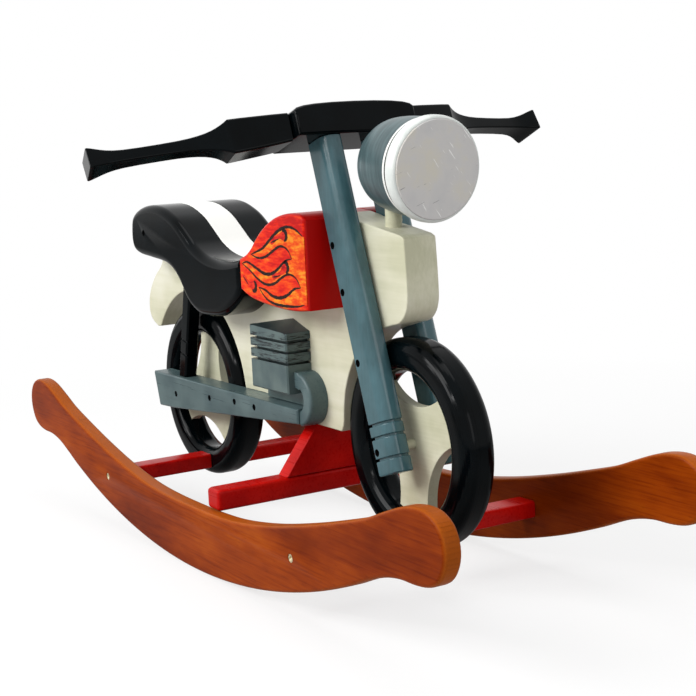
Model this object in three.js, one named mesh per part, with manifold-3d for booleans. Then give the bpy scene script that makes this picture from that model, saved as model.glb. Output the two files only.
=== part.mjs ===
// A child's wooden rocking motorcycle. Millimetres, +X to the front wheel, +Z up, floor at zero.
// It is cut from flat boards, so most pieces are an outline in the XZ plane with a thickness along Y.
// "right" pieces lie at negative Y and "left" pieces at positive Y.
import * as THREE from "three";
import { mergeVertices } from "three/addons/utils/BufferGeometryUtils.js";
import Module from "manifold-3d";

const wasm = await Module();
wasm.setup();

// ---- Fits and mesh fineness ----
const FIT = 0.3;
const PIN_FIT = 0.15;
const WELD = 0.0002;
const SMALL_RADIUS = 2.5;
const SAMPLE_STEP = 1.5;
const CHORD_SAG = 0.3;
const CHORD_LEAST = 6;
const MITRE_SHARE = 0.4;
const PIN_SIDES = 12;
const SCREW_SIDES = 8;
const QUARTER_TURN = 90;
const FULL_TURN = 360;

// ---- Wheels ----
const WHEEL_RADIUS = 102.4;
const WHEEL_LOW = 40.6;
// Every height of the body is measured above the line through the wheels' centres.
const AXLE_LINE = WHEEL_LOW + WHEEL_RADIUS;
const FRONT_WHEEL_X = 212.8;
const FRONT_WHEEL_RISE = 2.3;
const REAR_WHEEL_X = -220.9;
const TYRE_HOLE_SHARE = 0.6855;
const TYRE_EDGE_OUT = 11;
const TYRE_EDGE_IN = 8;
const WHEEL_SIDES = 40;
const WEB_HALF = 6;
const WEB_EDGE = 1;
const BITE_COUNT = 3;
const BITE_RADIUS_SHARE = 1;
const BITE_DEPTH_SHARE = 0.47;
const BITE_STEPS = 10;
const SPOKE_STEPS = 5;
const FRONT_BITE_TURN = 87;
const REAR_BITE_TURN = 20.4;
const AXLE_RADIUS = 5;
const AXLE_PAST_CORE = 15.5;

// ---- Rockers ----
const ROCKER_INNER = 129;
const ROCKER_BOARD = 18;
const ROCKER_EDGE = 4;
const ROCKER_RADIUS = 880;
const ROCKER_ARC_HALF = 315;
const ROCKER_FACETS = 21;
const ROCKER_WAIST = 67.3;
const ROCKER_HALF_TOP = [
  [340, 68.6], [365, 77.5], [390, 82.2], [414, 82.8], [432, 85.5], [446, 92.5],
  [454.5, 105], [457, 118], [454, 131], [446, 141], [432, 147.3], [414, 147.8],
  [395, 144], [370, 135], [341, 123.8], [302, 112.5], [244, 97.3], [175, 82],
  [107, 71.5], [55, 68],
];

// ---- Cross rails and footrest ----
const RAIL_X = 212.8;
const RAIL_Z = 59.5;
const RAIL_DEPTH = 27;
const RAIL_HEIGHT = 17.5;
const RAIL_EDGE = 3;
const TENON_RADIUS = 6;
const TENON_REACH = 45;
const FOOTREST_X = 39;
const FOOTREST_OVER_WAIST = 1.1;
const FOOTREST_DEPTH = 26;
const FOOTREST_HEIGHT = 22;
const FOOTREST_PAST_ROCKER = 8;
const FOOTREST_EDGE = 4;

// ---- Pedestal between footrest and body ----
const PEDESTAL_BOARD = 19;
const PEDESTAL_FRONT = 51.5;
const PEDESTAL_HALF_BOTTOM = 56;
const PEDESTAL_HALF_TOP = 17;
const PEDESTAL_TENON_HALF = 11;
const PEDESTAL_TENON_DEPTH = 9;
const PEDESTAL_TENON_REACH = 12;

// ---- Body core: seat spine, tank spine, head block and rear fender in one board ----
const CORE_BOARD = 37;
const CORE_EDGE = 1.5;
const CORE_DROP = 1;
const SEAT_FRONT = -21.6;
const SEAT_TOP = [
  [-300, 202], [-296, 210], [-285, 217], [-265, 222.5], [-240, 224.3], [-215, 221.8],
  [-191, 214.5], [-175, 207], [-150, 190.5], [-137, 182], [-115, 173], [-94, 168.5],
  [-70, 166.7], [-45, 168.5], [SEAT_FRONT, 173],
];
const TANK_TOP = [
  [-8, 177], [4, 184], [18, 196], [34, 207], [52, 215.5], [70, 220.5], [88, 222.8],
];
const NOSE_TOP = [[104, 222.6], [132, 218.5], [156, 213], [189, 208], [222, 202.6]];
const NOSE_BROW = 200;
const NOSE_FACE = 230.5;
const NOSE_CORNER = 14.5;
// Down the head block's face: setback as a share of its corner, height between arch and brow.
const NOSE_FACE_SHARES = [[0.17, 1], [0.07, 0.71], [0, 0.41], [0.034, 0.25], [0.31, 0.11]];
// Round the front wheel: turn in degrees, distance as a share of the wheel's radius.
const FRONT_ARCH_SHARES = [
  [88.4, 1.15], [95.4, 1.12], [102.1, 1.106], [114.3, 1.111], [126.4, 1.1],
  [138.4, 1.069], [147.9, 1.059], [158.3, 1.049], [168.2, 1.036], [177.5, 1.034],
];
const FRONT_ARCH_HEEL = 4;
const REAR_ARCH_GAP = 18.6;
const REAR_ARCH_TURN = 145;
const REAR_ARCH_STEPS = 20;
const TAIL_NECK = [[-299, 175], [-301, 160]];
// The fender's lobe behind the rear wheel, measured from the end of the wheel's arch.
const TAIL_LOBE = [
  [12, 77.6], [-6, 64.6], [-20, 50.6], [-28, 38], [-31, 27], [-30.5, 16], [-24, 6.5], [-9, -0.8],
];

// ---- Cheeks that widen the seat and the tank ----
const CHEEK_BOARD = 41.2;
const CHEEK_EDGE = 9;
const SEAT_BOTTOM = [
  [SEAT_FRONT, 141], [-30, 130], [-43, 120.5], [-58, 112.5], [-76, 106.5], [-95, 104],
  [-115, 103.3], [-129, 104.5], [-142, 109], [-153, 115.5], [-163, 125], [-173, 136.5],
  [-184, 146], [-198, 153.5], [-218, 158.5], [-254, 162], [-284, 165], [-296, 170],
  [-301, 180], [-301.5, 192],
];
const TANK_REAR_TOP = [-21, 172.5];
const TANK_CREST = [[104, 223], [118.8, 223]];
const TANK_BOTTOM = [
  [118.8, 127.5], [98, 125.6], [74, 125.2], [48, 126.5], [22, 129], [-2, 133], [-21, 140],
];

// ---- Engine blocks ----
const ENGINE_BOARD = 29.2;
const ENGINE_REAR = -29;
const ENGINE_FRONT = 49;
const ENGINE_BOTTOM = 33.5;
const ENGINE_RIDGE = [16, 108];
const ENGINE_REAR_TOP = 101;
const ENGINE_FRONT_TOP = 97.5;
const ENGINE_EDGE = 1.6;
const FIN_HEIGHTS = [65.5, 77.3, 88.3];
const FIN_SLOT = 2.8;
const FIN_DEPTH = 5.5;
const SUMP_BOARD = 9.2;
const SUMP_REAR = -31;
const SUMP_FRONT = 47;

// ---- Exhaust ----
const BEND_BOARD = 21.2;
const BEND_CENTRE = [51, 28];
const BEND_OUTER_RADIUS = 28.6;
const BEND_INNER_RADIUS = 12.4;
const BEND_OUTER_END = -77;
const BEND_INNER_END = -58;
const BEND_EDGE = 5;
const BEND_STEPS = 10;
const PIPE_BOARD = 24.2;
const PIPE_EDGE = 1.6;
const PIPE_FRONT = 56.6;
const PIPE_TOP = 19.4;
const PIPE_OUTLINE = [
  [-296, 18.5], [-284, -23], [-249, -21.5], [-164, -14.5], [-101, -8.5], [-18, -2],
  [PIPE_FRONT, 3], [PIPE_FRONT, 19], [-62, PIPE_TOP], [-211, 18.8],
];

// ---- Shock struts ----
const STRUT_BOARD = 16;
const STRUT_OFF_WHEEL = 4;
const STRUT_DEPTH = 17;
const STRUT_EDGE = 2;
const STRUT_BACK = 5.1;
const STRUT_RISE = 15;
const STRUT_LEAN = 13.4;
const STRUT_LENGTH = 150;
const STRUT_GROOVES = [33, 50];
const STRUT_GROOVE_DEPTH = 1.6;
const GROOVE_WIDTH = 2.4;

// ---- Fork ----
const RAKE = 18.1;
const FORK_BOARD = 23.2;
const FORK_WIDTH = 32;
const FORK_FRONT_EDGE = 8;
const FORK_REAR_EDGE = 2.5;
const FORK_FRONT_STEPS = 3;
const FORK_REAR_STEPS = 2;
const FORK_BELOW_AXLE = 25;
const FORK_ABOVE_AXLE = 306;
const FORK_GROOVES = [15.7, 36.5, 49];
const FORK_GROOVE_DEPTH = 2.4;

// ---- Handlebar ----
const YOKE_BACK = 41;
const YOKE_FRONT = 19;
const YOKE_HALF = 69;
const YOKE_RISE = 32.6;
const YOKE_EDGE = 3;
// Half of the yoke's arch, as shares of its half width and its rise.
const YOKE_ARCH_SHARES = [
  [1, 0], [1, 0.767], [0.942, 0.859], [0.826, 0.92], [0.638, 0.963], [0.348, 0.991], [0, 1],
];
// The bar sits a little askew: the left handle runs level and the right one drops.
const HANDLE_GAP = 0.4;
const HANDLE_ROOT_BACK = 12.64;
const HANDLE_ROOT_RISE = { right: 8.56, left: 10.56 };
const HANDLE_TIP_BACK = 49.64;
const HANDLE_TIP_RISE = { right: -12.44, left: 1.56 };
const HANDLE_TIP_OUT = 263;
const HANDLE_WIDTH = 36;
const HANDLE_HEIGHT = 34;
const HANDLE_PIN_RADIUS = 7;
const HANDLE_PIN_REACH = 18;
const HANDLE_SIDES = 16;
// Stations of a handle: share of its length, of its width, of its height; squareness.
const HANDLE_STATION_SHARES = [
  [0, 0.944, 0.809, 5.5], [0.012, 1, 0.882, 5], [0.15, 1, 0.941, 5], [0.3, 0.972, 1, 4.6],
  [0.345, 0.917, 0.971, 4], [0.375, 0.778, 0.838, 3.2], [0.405, 0.625, 0.691, 2.6],
  [0.44, 0.517, 0.565, 2.2], [0.5, 0.472, 0.512, 2], [0.68, 0.456, 0.494, 2],
  [0.86, 0.478, 0.518, 2], [0.905, 0.528, 0.576, 2], [0.945, 0.653, 0.735, 2],
  [0.975, 0.789, 0.882, 2], [0.994, 0.861, 0.971, 2], [1, 0.822, 0.929, 2],
];

// ---- Headlight: distance before the face along the lamp's axis, then radius ----
const LAMP_FACE = [260.4, 262.2];
const LAMP_PITCH = 4.8;
const LAMP_SIDES = 28;
const LAMP_BUCKET = [
  [-86, 0], [-85, 16], [-81, 30], [-74, 39], [-62, 43.6], [-46, 45.7], [-30, 46.4],
  [-17.8, 46.4], [-16.8, 45.2], [-16.8, 0],
];
const LAMP_RIM = [
  [-16.5, 0], [-16.5, 43.6], [-14.8, 43.6], [-14.8, 47.9], [-8, 49], [-0.8, 48.4],
  [0, 47.6], [0, 47.3], [-4.7, 47.3], [-4.7, 0],
];
const LAMP_LENS = [[-4.4, 0], [-4.4, 47], [0.6, 47], [1.2, 46.2], [1.2, 0]];
const POST_X = 186;
const POST_RADIUS = 8;
const POST_BOTTOM = 191;
const POST_TOP = 243;

// ---- Screws ----
const HEAD_RADIUS = 3.3;
const HEAD_RIM = 0.5;
const HEAD_HEIGHT = 2.2;
const SHANK_RADIUS = 1.7;
const SCREW_POINT = 4;
const SCREW_SINK = 5;
const SCREW_LONG = 34;
const SCREW_SHORT = 17;
const COUNTERBORE_GAP = 0.4;
const ROCKER_HEAD_RADIUS = 4.2;
const ROCKER_SINK = 0.6;
const ROCKER_SCREW_LONG = 42;
const SEAT_SCREW = [-262, 191];
const SEAT_SINK = 14;
// Screws along the exhaust pipe: place, height, length. Those by a hub end inside their board.
const PIPE_SCREWS = [
  [-236, -3, SCREW_SHORT], [-146, 4, SCREW_LONG], [-84, 8, SCREW_LONG], [-38, 8, SCREW_LONG],
];
// Screws up the fork leg: run above the axle, length.
const FORK_SCREWS = [
  [202.5, SCREW_LONG], [155.5, SCREW_LONG], [85.5, SCREW_LONG], [-2, SCREW_SHORT],
];
const FORK_SCREW_BACK = 9.8;

// ---- Sizes that follow from the ones above ----
const CORE_HALF = CORE_BOARD / 2;
const CHEEK_INNER = CORE_HALF + FIT;
const CHEEK_OUTER = CHEEK_INNER + CHEEK_BOARD;
const ENGINE_OUTER = CHEEK_INNER + ENGINE_BOARD;
const SUMP_OUTER = CHEEK_INNER + SUMP_BOARD;
const BEND_OUTER = CHEEK_INNER + BEND_BOARD;
const PIPE_OUTER = CHEEK_INNER + PIPE_BOARD;
const FORK_OUTER = CHEEK_INNER + FORK_BOARD;
const STRUT_INNER = CORE_HALF + STRUT_OFF_WHEEL;
const STRUT_OUTER = STRUT_INNER + STRUT_BOARD;
const AXLE_HALF = CORE_HALF + AXLE_PAST_CORE;
const CORE_BOTTOM = AXLE_LINE - CORE_DROP;
const FRONT_WHEEL = [FRONT_WHEEL_X, AXLE_LINE + FRONT_WHEEL_RISE];
const REAR_WHEEL = [REAR_WHEEL_X, AXLE_LINE];
const WHEEL_HOLE = WHEEL_RADIUS * TYRE_HOLE_SHARE;
const WEB_RIM = WHEEL_HOLE - FIT;
const BITE_RADIUS = WEB_RIM * BITE_RADIUS_SHARE;
const BITE_DEPTH = WEB_RIM * BITE_DEPTH_SHARE;
const ROCKER_OUTER = ROCKER_INNER + ROCKER_BOARD;
const FOOTREST_HALF = ROCKER_INNER + FOOTREST_PAST_ROCKER;
const FOOTREST_BOTTOM = ROCKER_WAIST + FOOTREST_OVER_WAIST;
const FOOTREST_TOP = FOOTREST_BOTTOM + FOOTREST_HEIGHT;

// ---- Paints ----
function paint(colour, roughness, metalness) {
  return new THREE.MeshStandardMaterial({ color: colour, roughness, metalness });
}
const STAIN = paint(0xa8480f, 0.42, 0);
const RED = paint(0xc4160f, 0.4, 0);
const BLACK = paint(0x0c1214, 0.22, 0);
const SLATE = paint(0x54676c, 0.45, 0);
const CREAM = paint(0xe4e2d2, 0.5, 0);
const WHITE = paint(0xf0f0ec, 0.4, 0);
const LILAC = paint(0xc4bfc4, 0.5, 0);
const STEEL = paint(0xb9b2a0, 0.35, 0.9);
const DARK_STEEL = paint(0x2b2d2e, 0.5, 0.7);

const bike = new THREE.Group();
const SIDES = [["right", -1], ["left", 1]];

// ---- Solid helpers ----

// A closed three.js surface as a solid that can be joined and cut.
function solidOf(geometry) {
  const source = geometry.index ? geometry.toNonIndexed() : geometry;
  const bare = new THREE.BufferGeometry();
  bare.setAttribute("position", source.getAttribute("position"));
  const welded = mergeVertices(bare, WELD);
  const vertProperties = new Float32Array(welded.attributes.position.array);
  const triVerts = new Uint32Array(welded.index.array);
  return new wasm.Manifold(new wasm.Mesh({ numProp: 3, vertProperties, triVerts }));
}

function place(name, body, material) {
  const mesh = body.getMesh();
  const geometry = new THREE.BufferGeometry();
  const positions = new Float32Array(mesh.vertProperties);
  geometry.setAttribute("position", new THREE.BufferAttribute(positions, mesh.numProp));
  geometry.setIndex(new THREE.BufferAttribute(new Uint32Array(mesh.triVerts), 1));
  geometry.computeVertexNormals();
  const piece = new THREE.Mesh(geometry, material);
  piece.name = name;
  bike.add(piece);
}

// Rings of points, each with the same count, stitched into a closed skin with two end caps.
function skin(rings, capFaces) {
  const count = rings[0].length;
  const positions = rings.flat(2);
  const index = [];
  for (let ring = 0; ring + 1 < rings.length; ring += 1) {
    for (let corner = 0; corner < count; corner += 1) {
      const next = (corner + 1) % count;
      const low = ring * count;
      const high = low + count;
      index.push(low + corner, high + next, low + next);
      index.push(low + corner, high + corner, high + next);
    }
  }
  const last = (rings.length - 1) * count;
  for (const [a, b, c] of capFaces) {
    index.push(a, b, c);
    index.push(last + a, last + c, last + b);
  }
  const geometry = new THREE.BufferGeometry();
  geometry.setAttribute("position", new THREE.Float32BufferAttribute(positions, 3));
  geometry.setIndex(index);
  return solidOf(geometry);
}

// The number of facets that a rounded edge of this radius takes.
function arcSteps(radius) {
  if (radius === 0) return 0;
  return radius < SMALL_RADIUS ? 1 : 2;
}

// The loop of [x, z] corners moved inwards by a distance, corner by corner.
function inset(loop, distance) {
  return loop.map(([x, z], i) => {
    const [px, pz] = loop[(i + loop.length - 1) % loop.length];
    const [nx, nz] = loop[(i + 1) % loop.length];
    const before = new THREE.Vector2(x - px, z - pz).normalize();
    const after = new THREE.Vector2(nx - x, nz - z).normalize();
    const along = before.clone().add(after).normalize();
    const reach = distance / Math.max(before.dot(along), MITRE_SHARE);
    return [x - along.y * reach, z + along.x * reach];
  });
}

// A board: an XZ outline between two Y faces, each face's edge rounded by its own radius.
function board(outline, faces, radii) {
  const points = outline.map(([x, z]) => new THREE.Vector2(x, z));
  const loop = THREE.ShapeUtils.area(points) < 0 ? [...outline].reverse() : outline;
  const rings = [];
  const addRing = (depth, distance) => {
    rings.push(inset(loop, distance).map(([x, z]) => [x, depth, z]));
  };
  const steps = radii.map(arcSteps);
  for (let step = 0; step <= steps[0]; step += 1) {
    const turn = steps[0] ? (Math.PI / 2) * (step / steps[0]) : Math.PI / 2;
    addRing(faces[0] + radii[0] * (1 - Math.cos(turn)), radii[0] * (1 - Math.sin(turn)));
  }
  for (let step = steps[1]; step >= 0; step -= 1) {
    const turn = steps[1] ? (Math.PI / 2) * (step / steps[1]) : Math.PI / 2;
    addRing(faces[1] - radii[1] * (1 - Math.cos(turn)), radii[1] * (1 - Math.sin(turn)));
  }
  const flat = loop.map(([x, z]) => new THREE.Vector2(x, z));
  return skin(rings, THREE.ShapeUtils.triangulateShape(flat, []));
}

// A board on one side of the bike, from an inner to an outer distance off the centre plane.
function cheek(outline, side, inner, outer, outerRadius, innerRadius) {
  const faces = side < 0 ? [-outer, -inner] : [inner, outer];
  const radii = side < 0 ? [outerRadius, innerRadius] : [innerRadius, outerRadius];
  return board(outline, faces, radii);
}

// Points of the body lifted from heights above the axle line to heights above the floor.
function lifted(points) {
  return points.map(([x, height]) => [x, AXLE_LINE + height]);
}

// How far the points between two others stray from the chord that joins them.
function sag(points, from, to) {
  const chord = new THREE.Vector2(points[to].x - points[from].x, points[to].y - points[from].y);
  const length = chord.length();
  const strays = points.slice(from + 1, to).map((point) => {
    const offset = point.clone().sub(points[from]);
    return Math.abs(chord.cross(offset)) / length;
  });
  return Math.max(0, ...strays);
}

// A smooth line through some points, drawn with as few chords as the greatest sag allows.
function smooth(points) {
  const curve = new THREE.SplineCurve(points.map(([x, z]) => new THREE.Vector2(x, z)));
  const count = Math.ceil(curve.getLength() / SAMPLE_STEP);
  const fine = curve.getSpacedPoints(count);
  const least = Math.ceil(CHORD_LEAST / SAMPLE_STEP);
  const kept = [fine[0]];
  let from = 0;
  while (from < count) {
    let to = Math.min(from + least, count);
    while (to < count && sag(fine, from, to + 1) <= CHORD_SAG) to += 1;
    kept.push(fine[to]);
    from = to;
  }
  return kept.map((point) => [point.x, point.y]);
}

function arc(centre, radius, fromDegrees, toDegrees, steps) {
  const points = [];
  for (let step = 0; step <= steps; step += 1) {
    const turn = THREE.MathUtils.degToRad(fromDegrees + ((toDegrees - fromDegrees) * step) / steps);
    points.push([centre[0] + radius * Math.cos(turn), centre[1] + radius * Math.sin(turn)]);
  }
  return points;
}

// A bar's section: a rectangle with its four corners rounded.
function roundedBar(centre, width, height, corner) {
  const x = width / 2 - corner;
  const z = height / 2 - corner;
  const corners = [[x, z], [-x, z], [-x, -z], [x, -z]];
  return corners.flatMap(([dx, dz], i) => {
    const turn = i * QUARTER_TURN;
    const middle = [centre[0] + dx, centre[1] + dz];
    return arc(middle, corner, turn, turn + QUARTER_TURN, arcSteps(corner));
  });
}

function rectangle(left, right, bottom, top) {
  return [[left, bottom], [right, bottom], [right, top], [left, top]];
}

// A block in plain axes: X from, X to, half width in Y, Z from, Z to.
function block(left, right, half, bottom, top) {
  return board(rectangle(left, right, bottom, top), [-half, half], [0, 0]);
}

// A round rod along Y between two depths.
function rod(centre, radius, from, to) {
  const geometry = new THREE.CylinderGeometry(radius, radius, Math.abs(to - from), PIN_SIDES);
  geometry.translate(centre[0], (from + to) / 2, centre[1]);
  return solidOf(geometry);
}

// A body turned about a line along Y from [radius, depth] points that start and end on it.
function turned(profile, sides) {
  const points = profile.map(([radius, depth]) => new THREE.Vector2(radius, depth));
  if (THREE.ShapeUtils.area(points) < 0) points.reverse();
  return new THREE.LatheGeometry(points, sides);
}

// A screw's outline from its head inwards, grown by a clearance for the hole it sits in.
function screwProfile(length, headRadius, above, growth) {
  const shank = SHANK_RADIUS + growth;
  return [
    [0, -above],
    [headRadius, -above],
    [headRadius, HEAD_RIM + growth],
    [shank, HEAD_HEIGHT + growth],
    [shank, length - SCREW_POINT + growth],
    [0, length + growth],
  ];
}

function screwBody(centre, side, top, profile) {
  const placed = profile.map(([radius, run]) => [radius, side * (top - run)]);
  const geometry = turned(placed, SCREW_SIDES);
  geometry.translate(centre[0], 0, centre[1]);
  return solidOf(geometry);
}

// A countersunk screw whose head faces away from the centre plane.
function screw(centre, side, face, sink, length, headRadius) {
  return screwBody(centre, side, face - sink, screwProfile(length, headRadius, 0, 0));
}

function screwHole(centre, side, face, sink, length, headRadius) {
  const profile = screwProfile(length, headRadius + COUNTERBORE_GAP, sink + FIT, FIT);
  return screwBody(centre, side, face - sink, profile);
}

// ---- Rockers, rails and footrest ----

function rockerOutline() {
  const bottom = [];
  for (let facet = 0; facet <= ROCKER_FACETS; facet += 1) {
    const x = ROCKER_ARC_HALF * ((2 * facet) / ROCKER_FACETS - 1);
    bottom.push([x, ROCKER_RADIUS - Math.sqrt(ROCKER_RADIUS ** 2 - x ** 2)]);
  }
  const mirrored = ROCKER_HALF_TOP.map(([x, z]) => [-x, z]).reverse();
  const end = bottom[bottom.length - 1];
  const start = bottom[0];
  const top = smooth([end, ...ROCKER_HALF_TOP, [0, ROCKER_WAIST], ...mirrored, start]);
  const floorLift = Math.min(...bottom.map(([, z]) => z));
  return [...bottom, ...top.slice(1, -1)].map(([x, z]) => [x, z - floorLift]);
}

const rockerShape = rockerOutline();
const RAIL_ENDS = [["front", RAIL_X], ["rear", -RAIL_X]];

for (const [label, side] of SIDES) {
  let rocker = cheek(rockerShape, side, ROCKER_INNER, ROCKER_OUTER, ROCKER_EDGE, ROCKER_EDGE);
  for (const [end, x] of RAIL_ENDS) {
    const centre = [x, RAIL_Z];
    const seat = [centre, side, ROCKER_OUTER, ROCKER_SINK, ROCKER_SCREW_LONG, ROCKER_HEAD_RADIUS];
    const hole = screwHole(...seat);
    rocker = rocker.subtract(hole);
    const bar = roundedBar(centre, RAIL_DEPTH, RAIL_HEIGHT, RAIL_EDGE);
    let rail = cheek(bar, side, CHEEK_INNER, ROCKER_INNER - FIT, 0, 0).subtract(hole);
    if (side < 0) {
      rail = rail.add(rod(centre, TENON_RADIUS, -CORE_HALF - 2 * TENON_RADIUS, TENON_REACH));
    } else {
      rail = rail.subtract(rod(centre, TENON_RADIUS + PIN_FIT, 0, TENON_REACH + FIT));
    }
    place(`rail_${end}_${label}`, rail, RED);
    place(`rocker_screw_${end}_${label}`, screw(...seat), STEEL);
  }
  place(`rocker_${label}`, rocker, STAIN);
}

// The pedestal's tenon, or with a growth the mortise that takes it.
function pedestalTenon(growth) {
  const middle = PEDESTAL_FRONT - PEDESTAL_BOARD / 2;
  const half = PEDESTAL_TENON_DEPTH / 2 + growth;
  const bottom = FOOTREST_TOP - PEDESTAL_TENON_REACH - growth;
  const top = CORE_BOTTOM + PEDESTAL_TENON_REACH + growth;
  return block(middle - half, middle + half, PEDESTAL_TENON_HALF + growth, bottom, top);
}

const footrestMiddle = [FOOTREST_X, FOOTREST_BOTTOM + FOOTREST_HEIGHT / 2];
const footrestBar = roundedBar(footrestMiddle, FOOTREST_DEPTH, FOOTREST_HEIGHT, FOOTREST_EDGE);
const footrest = board(
  footrestBar, [-FOOTREST_HALF, FOOTREST_HALF], [FOOTREST_EDGE, FOOTREST_EDGE],
);
place("footrest_bar", footrest.subtract(pedestalTenon(FIT)), RED);

// The pedestal's outline lies in the YZ plane, so it is drawn as a board and turned about Z.
const pedestalOutline = [
  [-PEDESTAL_HALF_BOTTOM, FOOTREST_TOP + FIT],
  [PEDESTAL_HALF_BOTTOM, FOOTREST_TOP + FIT],
  [PEDESTAL_HALF_TOP, CORE_BOTTOM - FIT],
  [-PEDESTAL_HALF_TOP, CORE_BOTTOM - FIT],
];
const pedestalFaces = [-PEDESTAL_FRONT, PEDESTAL_BOARD - PEDESTAL_FRONT];
const pedestal = board(pedestalOutline, pedestalFaces, [0, 0]).rotate([0, 0, QUARTER_TURN]);
place("pedestal_gusset", pedestal.add(pedestalTenon(0)), RED);

// ---- Body core ----

function frontArch() {
  return FRONT_ARCH_SHARES.map(([turn, share]) => {
    const [point] = arc(FRONT_WHEEL, WHEEL_RADIUS * share, turn, turn, 1);
    return point;
  });
}

// The face of the head block hangs from its brow to the top of the front wheel's arch.
function noseFace(archTop) {
  const brow = AXLE_LINE + NOSE_BROW;
  return NOSE_FACE_SHARES.map(([setback, height]) => [
    NOSE_FACE - NOSE_CORNER * setback,
    archTop + (brow - archTop) * height,
  ]);
}

function tail() {
  const radius = WHEEL_RADIUS + REAR_ARCH_GAP;
  const arch = arc(REAR_WHEEL, radius, 0, REAR_ARCH_TURN, REAR_ARCH_STEPS);
  const [endX, endZ] = arch[arch.length - 1];
  const lobe = TAIL_LOBE.map(([x, z]) => [endX + x, endZ + z]);
  const rim = smooth([...lifted(TAIL_NECK), ...lobe].reverse());
  return [[REAR_WHEEL[0] + radius, CORE_BOTTOM], ...arch.slice(1), ...rim];
}

const arch = frontArch();
const coreOutline = [
  ...smooth(lifted([...SEAT_TOP, ...TANK_TOP, ...NOSE_TOP])),
  ...smooth([...noseFace(arch[0][1]), ...arch]),
  [arch[arch.length - 1][0] - FRONT_ARCH_HEEL, CORE_BOTTOM],
  ...tail(),
];
let core = board(coreOutline, [-CORE_HALF, CORE_HALF], [CORE_EDGE, CORE_EDGE]);
core = core.subtract(pedestalTenon(FIT));

// An upright round rod between two heights above the axle line.
function post(radius, bottom, top) {
  const geometry = new THREE.CylinderGeometry(radius, radius, top - bottom, PIN_SIDES);
  geometry.rotateX(Math.PI / 2);
  geometry.translate(POST_X, 0, AXLE_LINE + (bottom + top) / 2);
  return solidOf(geometry);
}
core = core.subtract(post(POST_RADIUS + PIN_FIT, POST_BOTTOM - FIT, POST_TOP));

// ---- Seat and tank cheeks ----

const seatOutline = [...smooth(lifted(SEAT_TOP)), ...smooth(lifted(SEAT_BOTTOM))];
const tankOutline = [
  ...smooth(lifted([TANK_REAR_TOP, ...TANK_TOP, TANK_CREST[0]])),
  ...lifted(TANK_CREST.slice(1)),
  ...smooth(lifted(TANK_BOTTOM)),
];

// ---- Engine, exhaust and struts ----

const engineOutline = lifted([
  [ENGINE_REAR, ENGINE_BOTTOM],
  [ENGINE_FRONT, ENGINE_BOTTOM],
  [ENGINE_FRONT, ENGINE_FRONT_TOP],
  ENGINE_RIDGE,
  [ENGINE_REAR, ENGINE_REAR_TOP],
]);

// Everything below the plane through three points.
function trimmed(body, a, b, c) {
  const plane = new THREE.Plane().setFromCoplanarPoints(a, b, c);
  if (plane.normal.z > 0) plane.negate();
  return body.trimByPlane(plane.normal.toArray(), -plane.constant);
}

// The block's top slopes from a ridge at the body down to a straight edge outside.
function engineBlock(side) {
  let engine = cheek(engineOutline, side, CHEEK_INNER, ENGINE_OUTER, ENGINE_EDGE, 0);
  const outside = side * ENGINE_OUTER;
  const [ridgeX, ridgeHeight] = ENGINE_RIDGE;
  engine = trimmed(
    engine,
    new THREE.Vector3(ENGINE_REAR, outside, AXLE_LINE + ENGINE_REAR_TOP),
    new THREE.Vector3(ENGINE_FRONT, outside, AXLE_LINE + ENGINE_FRONT_TOP),
    new THREE.Vector3(ridgeX, side * CHEEK_INNER, AXLE_LINE + ridgeHeight),
  );
  const beyond = [ENGINE_REAR - FIN_DEPTH, ENGINE_FRONT + FIN_DEPTH];
  const within = [ENGINE_REAR + FIN_DEPTH, ENGINE_FRONT - FIN_DEPTH];
  for (const height of FIN_HEIGHTS) {
    const low = AXLE_LINE + height - FIN_SLOT / 2;
    const high = AXLE_LINE + height + FIN_SLOT / 2;
    const slot = cheek(rectangle(...beyond, low, high), side, 0, ENGINE_OUTER + FIN_DEPTH, 0, 0);
    const heart = rectangle(...within, low - FIT, high + FIT);
    engine = engine.subtract(
      slot.subtract(cheek(heart, side, 0, ENGINE_OUTER - FIN_DEPTH, 0, 0)),
    );
  }
  const [bottom, top] = [AXLE_LINE + PIPE_TOP + FIT, AXLE_LINE + ENGINE_BOTTOM + FIT];
  const sump = rectangle(SUMP_REAR, SUMP_FRONT, bottom, top);
  return engine.add(cheek(sump, side, CHEEK_INNER, SUMP_OUTER, 0, 0));
}

function bendOutline() {
  const centre = [BEND_CENTRE[0], AXLE_LINE + BEND_CENTRE[1]];
  const outer = arc(centre, BEND_OUTER_RADIUS, QUARTER_TURN, BEND_OUTER_END, BEND_STEPS);
  const inner = arc(centre, BEND_INNER_RADIUS, BEND_INNER_END, QUARTER_TURN, BEND_STEPS);
  const butt = ENGINE_FRONT + FIT;
  const lowerEnd = PIPE_FRONT + FIT;
  const [, topOuter] = outer[0];
  const [, topInner] = inner[inner.length - 1];
  const lower = [[lowerEnd, outer[outer.length - 1][1]], [lowerEnd, inner[0][1]]];
  return [[butt, topOuter], ...outer.slice(0, -1), ...lower, ...inner.slice(1), [butt, topInner]];
}

const lean = THREE.MathUtils.degToRad(STRUT_LEAN);
const strutAlong = [Math.sin(lean), Math.cos(lean)];
const strutFoot = [REAR_WHEEL[0] - STRUT_BACK, REAR_WHEEL[1] + STRUT_RISE];

// The corners of a leaning rectangle: from a foot, along a direction, with a width across it.
function leaning(foot, along, from, to, back, front) {
  const at = (run, across) => [
    foot[0] + along[0] * run + along[1] * across,
    foot[1] + along[1] * run - along[0] * across,
  ];
  return [at(from, -back), at(from, front), at(to, front), at(to, -back)];
}

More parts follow.
